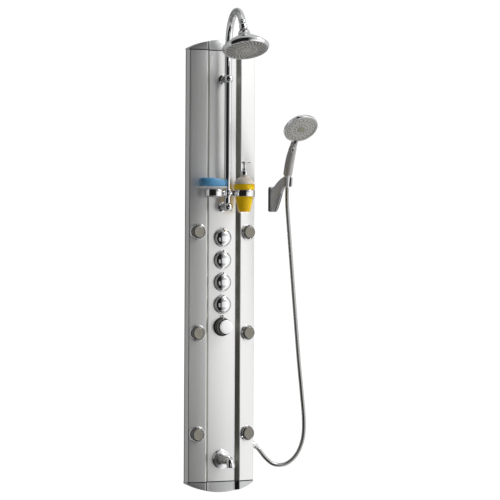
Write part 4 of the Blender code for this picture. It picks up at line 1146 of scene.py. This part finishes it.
# ---------------------------------------------------------------- tub spout
def make_spout():
    place = facing_front(0, CENTRE_APEX, SPOUT_Z)
    plate = rounded([(0.004, 0.0012), (0.032, 0.0012), (0.0328, 0.002), (0.0328, 0.0036),
                     (0.03, 0.0048), (0.0296, 0.0062), (0.0262, 0.007), (0.0258, 0.0084),
                     (0.0228, 0.0092), (0.0222, 0.0104), (0.0196, 0.0112), (0.015, 0.0116)], 0.0006, 3)
    points, faces = lathe(plate, 96)
    base = (follow_panel(points, place), faces)
    path = [Vector((0, y, SPOUT_Z)) for y in (-0.045, -0.05, -0.056, -0.064, -0.072, -0.08, -0.088,
                                              -0.093)]
    radii = [0.0216, 0.0204, 0.0192, 0.0178, 0.0166, 0.0156, 0.0148, 0.0144]
    reach, bend, end_z = -0.113, 0.02, -0.673
    for index in range(1, 17):
        turn = PI / 2 * index / 16
        path.append(Vector((0, reach + bend * (1 - math.sin(turn)),
                            SPOUT_Z - bend * (1 - math.cos(turn)))))
        radii.append(0.0141 - 0.0004 * math.sin(turn))
    path.append(Vector((0, reach, end_z + 0.0004)))
    radii.append(0.0136)
    path.append(Vector((0, reach, end_z)))
    radii.append(0.0132)
    rings = rings_round(path, radii, 64)
    middle = Vector((0, reach, end_z))
    mouth = [middle + (point - middle) * 0.84 for point in rings[-1]]
    inner = [point + Vector((0, 0, 0.006)) for point in mouth]
    downwards = Matrix.Translation(middle) @ Matrix.Rotation(PI, 4, "X")
    aerator = lathe([(0.0104, -0.005), (0.0104, -0.004), (0.0004, -0.0036)], 48, downwards)
    parts = [(base, 0), (loft(rings + [mouth, inner]), 0), (aerator, 1)]
    piece("spout_casting", PANEL, parts, [CHROME, BLACK], ["tub_spout"])


make_spout()

# ---------------------------------------------------------------- hand shower
HAND_FACE = (0.127, 0.457)
FACE_TILT = math.radians(48.0)


def superellipse_ring(low, high, half, steps, power):
    bottom, top = Vector((HAND_X, *low)), Vector((HAND_X, *high))
    middle, rise = (bottom + top) / 2, (top - bottom) / 2
    ring = []
    for step in range(steps):
        turn = 2 * PI * step / steps
        wide = math.copysign(abs(math.cos(turn)) ** power, math.cos(turn))
        tall = math.copysign(abs(math.sin(turn)) ** power, math.sin(turn))
        ring.append(middle + Vector((half * wide, 0, 0)) + rise * tall)
    return ring


def make_hand_bracket():
    rings = []
    low, high = 0.185, 0.2715
    middle = (low + high) / 2
    for y, shrink in ((0.0, 1.0), (-0.001, 1.0), (-0.0085, 1.0), (-0.01, 0.99), (-0.0112, 0.965),
                      (-0.012, 0.93)):
        ring = []
        for corner_x, corner_z, first in ((0.0085, high - 0.007, 0), (-0.0085, high - 0.007, 90),
                                          (-0.0085, low + 0.007, 180), (0.0085, low + 0.007, 270)):
            for step in range(9):
                turn = math.radians(first + 90 * step / 8)
                x, z = corner_x + 0.007 * math.cos(turn), corner_z + 0.007 * math.sin(turn)
                ring.append((HAND_X + x * shrink, y, middle + (z - middle) * shrink))
        rings.append(ring)
    bracket = build("hand_holder_cast", [(loft(rings), 0)], [BRACKET_GREY, DARK_DOT_AND_SHADE, BLACK, BROWN_DOT_AND_REFLECTION])
    rows = [(-0.01, 0.188, -0.01, 0.269, 0.013), (-0.019, 0.1868, -0.017, 0.2704, 0.0129),
            (-0.028, 0.19, -0.024, 0.273, 0.0127), (-0.045, 0.212, -0.04, 0.281, 0.012),
            (-0.064, 0.241, -0.06, 0.292, 0.0106), (-0.083, 0.262, -0.082, 0.3, 0.009),
            (-0.0985, 0.269, -0.0995, 0.3015, 0.0078)]
    sections = []
    for y0, z0, y1, z1, half in spaced(rows, 4):
        sections.append(superellipse_ring((y0, z0), (y1, z1), half, 40, 0.62))
    place = aimed(hand_point(CONE_LOW), CONE_AXIS)
    socket = rounded([(0.0108, 0.003), (0.015, 0.003), (0.0168, 0.006), (0.0172, 0.033), (0.016, 0.035),
                      (0.0132, 0.035), (0.0108, 0.003)], 0.001, 4)
    cut(bracket, [loft(sections), lathe(socket[:-1], 72, place, loop=True)], "UNION")
    bore = lathe([(0.0107, 0.0), (0.0108, 0.003), (0.0132, 0.035), (0.0133, 0.04)], 72, place)
    slot = placed(block((-0.0078, -0.05, 0.26), (0.0078, 0.0, 0.32)),
                  Matrix.Translation((HAND_X, HAND_Y, 0)) @ Matrix.Rotation(-HAND_YAW, 4, "Z"))
    cut(bracket, [bore, slot])
    for face in bracket.data.polygons:
        spot, side = face.center, face.center.x - HAND_X
        low = -0.07 < spot.y < -0.0125 and spot.z < 0.245
        front = low and face.normal.z < 0.2 and face.normal.y < 0.1
        # Painted shade: the wall plate's left side face, turned away from the light, is made dark.
        if spot.y > -0.0125 and face.normal.x < -0.6:
            face.material_index = 1
        # Painted reflections: black vertical stripes and a brown stripe on the holder's front stand in
        # for what its chrome reflects.
        elif front and (-0.003 < side < 0.001 or side > 0.0105):
            face.material_index = 2
        elif front and 0.004 < side < 0.008:
            face.material_index = 3
    tie(bracket, PANEL, ["hand_bracket"])


def face_place():
    return aimed(hand_point(HAND_FACE), (0, -math.cos(FACE_TILT), -math.sin(FACE_TILT)))


def handle_size(z):
    table = [(0.266, 0.0096), (0.301, 0.012), (0.306, 0.0124), (0.309, 0.0149), (0.314, 0.0154),
             (0.33, 0.0156), (0.361, 0.0152), (0.39, 0.0135), (0.41, 0.0112), (0.43, 0.0104),
             (0.47, 0.011)]
    for (low, first), (high, second) in zip(table, table[1:]):
        if z <= high:
            share = (z - low) / (high - low)
            share = share * share * (3 - 2 * share) if high - low > 0.006 else share
            return first + (second - first) * share
    return table[-1][1]


def make_handset():
    place = face_place()
    route = [CONE_LOW, CONE_HIGH, (0.011, 0.33), (0.026, 0.361), (0.054, 0.402), (0.068, 0.418),
             (0.083, 0.433),
             (0.098, 0.444)]
    path = smooth_path([hand_point(pair) for pair in route], 90)
    handle = build("handset_shell", [(sweep(path, [handle_size(point.z) for point in path], 56), 0)],
                   [SATIN, CHROME], 40)
    back = [(0.0005, -0.0246), (0.012, -0.0245), (0.022, -0.0242), (0.031, -0.0233), (0.04, -0.0214),
            (0.047, -0.0188), (0.053, -0.015), (0.057, -0.0112), (0.0585, -0.0088), (0.0588, -0.007),
            (0.0588, 0.0), (0.0586, 0.0009), (0.0579, 0.0014), (0.0562, 0.0013), (0.0557, 0.0008),
            (0.0556, -0.005), (0.0005, -0.0054)]
    cut(handle, [lathe(back, 96, place)], "UNION", 40)
    recess = lathe([(0.0556, -0.0051), (0.0556, 0.04)], 96, place)
    cut(handle, [recess], "DIFFERENCE", 40)
    inverse = place.inverted()
    cone_inverse = aimed(hand_point(CONE_LOW), CONE_AXIS).inverted()
    for face in handle.data.polygons:
        spot = inverse @ face.center
        low = (cone_inverse @ face.center).z
        rim = 0.0545 < spot.xy.length < 0.0595 and -0.0125 < spot.z < 0.002
        if rim or low < 0.04:
            face.material_index = 1
    tie(handle, "handset", ["handset_body"])
    plate = rounded([(0.004, -0.0046), (0.0479, -0.0046), (0.048, 0.0006), (0.047, 0.0014),
                     (0.04, 0.002), (0.03, 0.0024), (0.029, 0.0018), (0.027, 0.0018), (0.0262, 0.0026),
                     (0.017, 0.003), (0.0164, 0.0022), (0.015, 0.0022), (0.0144, 0.0032),
                     (0.0005, 0.0036)], 0.0005, 3)
    parts = [(lathe(plate, 96, place), 0)]
    groups = ((18, 0.0405, 0.003, 2, 0.0014, 0.0), (18, 0.0342, 0.0015, 2, 0.0018, 0.5),
              (14, 0.0222, 0.0022, 1, 0.0024, 0.0), (6, 0.009, 0.0013, 2, 0.003, 0.0))
    for count, radius, size, tone, height, offset in groups:
        for step in range(count):
            turn = 2 * PI * (step + offset) / count
            spot = place @ Matrix.Translation((radius * math.cos(turn), radius * math.sin(turn),
                                              height))
            nub = [(size, -0.0006), (size * 0.9, 0.0003), (size * 0.55, 0.0009), (size * 0.2, 0.001)]
            parts.append((lathe(nub, 14, spot), tone))
    disc = [(0.0004, 0.003), (0.013, 0.0026), (0.0132, 0.0034), (0.0126, 0.0039), (0.0004, 0.0041)]
    parts.append((lathe(disc, 64, place), 3))
    piece("handset_spray_plate", "handset", parts, [FACE_GREY, DARK_DOT_AND_SHADE, BROWN_DOT_AND_REFLECTION,
          SAGE], ["handset_face"])
    ring = rounded([(0.0489, -0.0046), (0.0549, -0.0046), (0.0549, 0.0006), (0.0543, 0.0016),
                    (0.052, 0.002), (0.0498, 0.0018), (0.0489, 0.001), (0.0489, -0.0046)], 0.0004, 3)
    tab_rings = []
    for y, half, low, high in ((-0.051, 0.0038, 0.0012, 0.003), (-0.0542, 0.0038, 0.0018, 0.0046),
                               (-0.06, 0.0034, 0.002, 0.005), (-0.064, 0.003, 0.0021, 0.0047),
                               (-0.065, 0.0022, 0.0024, 0.004)):
        tab_rings.append([(-half, y, low), (half, y, low), (half, y, high - 0.0006),
                          (half * 0.7, y, high), (-half * 0.7, y, high),
                          (-half, y, high - 0.0006)])
    tab = placed(loft(tab_rings), place)
    piece("handset_spray_ring", "selector", [(lathe(ring[:-1], 96, place, loop=True), 0),
          (tab, 1)],
          [FACE_GREY, DARK_DOT_AND_SHADE], ["handset_selector"])
    make_finger_rest(path)


def make_finger_rest(path):
    """Chrome teardrop set into the front of the handle, below the head."""
    middle = min(path, key=lambda point: abs(point.z - 0.3975))
    index = path.index(middle)
    along = (path[index + 1] - path[index - 1]).normalized()
    face_out = Vector((-0.42, -1.0, 0))
    face_out = (face_out - along * face_out.dot(along)).normalized()
    across = along.cross(face_out)
    size = handle_size(middle.z)
    rings = []
    for scale, lift in ((1.0, -0.003), (1.0, 0.0003), (0.9, 0.001), (0.72, 0.0013), (0.6, 0.0008),
                        (0.1, 0.0006)):
        ring = []
        for step in range(40):
            turn = 2 * PI * step / 40
            long = math.cos(turn)
            wide = math.sin(turn) * (0.0042 + 0.0016 * long)
            ring.append(middle + along * (0.0125 * long * scale) + across * (wide * scale)
                        + face_out * (size + lift - 2.2 * (wide * scale) ** 2 / size / 2))
        rings.append(ring)
    piece("handset_teardrop", "handset", [(loft(rings), 0)], [CHROME])


make_hand_bracket()
make_handset()


def make_outlet():
    base = rounded([(0.003, -0.008), (0.0066, -0.008), (0.0066, 0.0), (0.0125, 0.0), (0.0125, 0.0026),
                    (0.0118, 0.0036), (0.0096, 0.0048), (0.0096, 0.0096), (0.0084, 0.0114),
                    (0.006, 0.0125), (0.0005, 0.0127)], 0.0006, 3)
    start = Matrix.Translation((HALF + GAP, OUTLET.y, OUTLET.z)) @ Matrix.Rotation(PI / 2, 4, "Y")
    length = (OUTLET_END - OUTLET_BALL).length - GAP
    ribs = 20

    def gripped(radius, height, turn):
        if 0.003 < height < length - 0.0026:
            return radius - 0.0005 * (0.5 + 0.5 * math.cos(turn * ribs))
        return radius

    nut = [(0.003, -0.0014), (0.0072, -0.001), (0.0086, 0.0012), (0.009, 0.0026), (0.0091, 0.0034),
           (0.0091, length - 0.0034), (0.009, length - 0.0022), (0.0085, length - 0.0006),
           (0.008, length), (0.004, length)]
    piece("hose_union", PANEL, [(lathe(base, 56, start), 0),
                                          (lathe(nut, 120, aimed(OUTLET_BALL, OUTLET_WAY),
                                           ripple=gripped), 0)],
          [CHROME], ["hose_outlet"])


make_outlet()


# ---------------------------------------------------------------- inside the panel
def repaint(node, material):
    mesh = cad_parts[node].data
    if not mesh.materials:
        mesh.materials.append(material)
    for index in range(len(mesh.materials)):
        mesh.materials[index] = material


for node in ("wall_bar_top", "wall_bar_bottom"):
    repaint(node, STEEL)
repaint("mixer_body", BRASS)
for node in ("riser_feed", "spout_feed", "jet_feed_left", "jet_feed_right", "hose_feed"):
    repaint(node, WHITE_PIPE)
for node in ("inlet_hot", "inlet_cold"):
    repaint(node, STEEL)


# ---------------------------------------------------------------- studio
FLOOR_Z = -1.12
FLOOR_HALF = 1.8
BACKDROP = 1.05


def make_floor():
    material = finish("floor", (0.9, 0.9, 0.9), 0.6, spread=0.1, dirt=0.02, grain=40.0, bump=0.0,
                      coarse=1.0,
                      Specular_IOR_Level=0.0)
    tree = material.node_tree
    pale, unseen = tree.nodes["Principled BSDF"], tree.nodes.new("ShaderNodeBsdfTransparent")
    pale.inputs["Emission Color"].default_value = (1, 1, 1, 1)
    pale.inputs["Emission Strength"].default_value = 0.45
    path, choose = tree.nodes.new("ShaderNodeLightPath"), tree.nodes.new("ShaderNodeMixShader")
    tree.links.new(path.outputs["Is Camera Ray"], choose.inputs[0])
    tree.links.new(unseen.outputs[0], choose.inputs[1])
    tree.links.new(pale.outputs[0], choose.inputs[2])
    tree.links.new(choose.outputs[0], tree.nodes["Material Output"].inputs["Surface"])
    corners = [(x * FLOOR_HALF, y * FLOOR_HALF, FLOOR_Z) for x, y in ((-1, -1), (1, -1), (1, 1),
               (-1, 1))]
    floor = build("floor", [((corners, [(0, 1, 2, 3)]), 0)], [material])


def arithmetic(tree, operation, one, two):
    node = tree.nodes.new("ShaderNodeMath")
    node.operation = operation
    for socket, value in zip(node.inputs, (one, two)):
        if isinstance(value, (int, float)):
            socket.default_value = value
        else:
            tree.links.new(value, socket)
    return node.outputs[0]


def step_between(tree, value, low, high):
    """0 below low, 1 above high, smooth in between."""
    node = tree.nodes.new("ShaderNodeMapRange")
    node.interpolation_type = "SMOOTHSTEP"
    node.inputs["From Min"].default_value = low
    node.inputs["From Max"].default_value = high
    tree.links.new(value, node.inputs["Value"])
    return node.outputs["Result"]


def blend_values(tree, share, one, two):
    """one where share is 0, two where share is 1."""
    change = arithmetic(tree, "SUBTRACT", two, one)
    return arithmetic(tree, "ADD", one, arithmetic(tree, "MULTIPLY", change, share))


# brightness of the studio walls round the object, by azimuth in degrees (0 straight out of the panel)
WALLS = [(-180, 0.2), (-168, 0.16), (-155, 0.34), (-112, 0.4), (-104, 0.5), (-97, 0.5), (-90, 0.012),
         (-12, 0.012), (2, 0.16), (14, 0.4), (24, 0.58), (46, 1.05), (72, 1.05), (80, 0.62),
         (150, 0.55), (165, 0.4), (180, 0.2)]
CEILING = (72, 84, 0.8)
GROUND = (-84, -72, 0.5)


def make_world():
    world = bpy.data.worlds.new("studio")
    bpy.context.scene.world = world
    world.use_nodes = True
    tree = world.node_tree
    tree.nodes.clear()
    out = tree.nodes.new("ShaderNodeOutputWorld")
    coordinates = tree.nodes.new("ShaderNodeTexCoord")
    split = tree.nodes.new("ShaderNodeSeparateXYZ")
    tree.links.new(coordinates.outputs["Generated"], split.inputs[0])
    backwards = arithmetic(tree, "MULTIPLY", split.outputs["Y"], -1.0)
    turn = arithmetic(tree, "ARCTAN2", split.outputs["X"], backwards)
    share = arithmetic(tree, "ADD", arithmetic(tree, "DIVIDE", turn, 2 * PI), 0.5)
    walls = tree.nodes.new("ShaderNodeValToRGB")
    walls.color_ramp.interpolation = "EASE"
    stops = walls.color_ramp.elements
    for index, (azimuth, level) in enumerate(WALLS):
        position = azimuth / 360 + 0.5
        stop = stops[index] if index < 2 else stops.new(position)
        stop.position = position
        stop.color = (level, level, level, 1.0)
    tree.links.new(share, walls.inputs[0])
    height = arithmetic(tree, "MULTIPLY", arithmetic(tree, "ARCSINE", split.outputs["Z"], 0.0),
                        180 / PI)
    low, high, level = CEILING
    total = blend_values(tree, step_between(tree, height, low, high), walls.outputs["Color"], level)
    low, high, level = GROUND
    total = blend_values(tree, step_between(tree, height, low, high), level, total)
    studio = tree.nodes.new("ShaderNodeBackground")
    studio.inputs["Color"].default_value = (1, 1, 1, 1)
    tree.links.new(total, studio.inputs["Strength"])
    white = tree.nodes.new("ShaderNodeBackground")
    white.inputs["Color"].default_value = (1, 1, 1, 1)
    white.inputs["Strength"].default_value = BACKDROP
    path = tree.nodes.new("ShaderNodeLightPath")
    choose = tree.nodes.new("ShaderNodeMixShader")
    tree.links.new(path.outputs["Is Camera Ray"], choose.inputs[0])
    tree.links.new(studio.outputs[0], choose.inputs[1])
    tree.links.new(white.outputs[0], choose.inputs[2])
    tree.links.new(choose.outputs[0], out.inputs[0])


def soft_light(name, place, target, wide, high, brightness):
    """Rectangular soft box whose face looks equally bright from everywhere in front of it."""
    data = bpy.data.lights.new(name, "AREA")
    data.shape = "RECTANGLE"
    data.size, data.size_y = wide, high
    data.energy = brightness * wide * high * PI
    light = bpy.data.objects.new(name, data)
    bpy.context.scene.collection.objects.link(light)
    direction = Vector(target) - Vector(place)
    light.matrix_world = Matrix.Translation(place) @ direction.to_track_quat("-Z",
            "Y").to_matrix().to_4x4()
    light.visible_camera = False


make_floor()
make_world()
soft_light("front_card", (-0.52, -1.1, -0.28), (0, 0, -0.28), 0.48, 0.75, 0.4)
soft_light("key", (1.62, -1.62, 1.95), (0, 0, 0), 0.7, 0.7, 18.0)
soft_light("front_right", (0.65, -1.5, -0.16), (0.65, 0, -0.16), 1.3, 1.0, 0.4)

scene = bpy.context.scene
scene.view_settings.view_transform = "Standard"
scene.view_settings.look = "None"
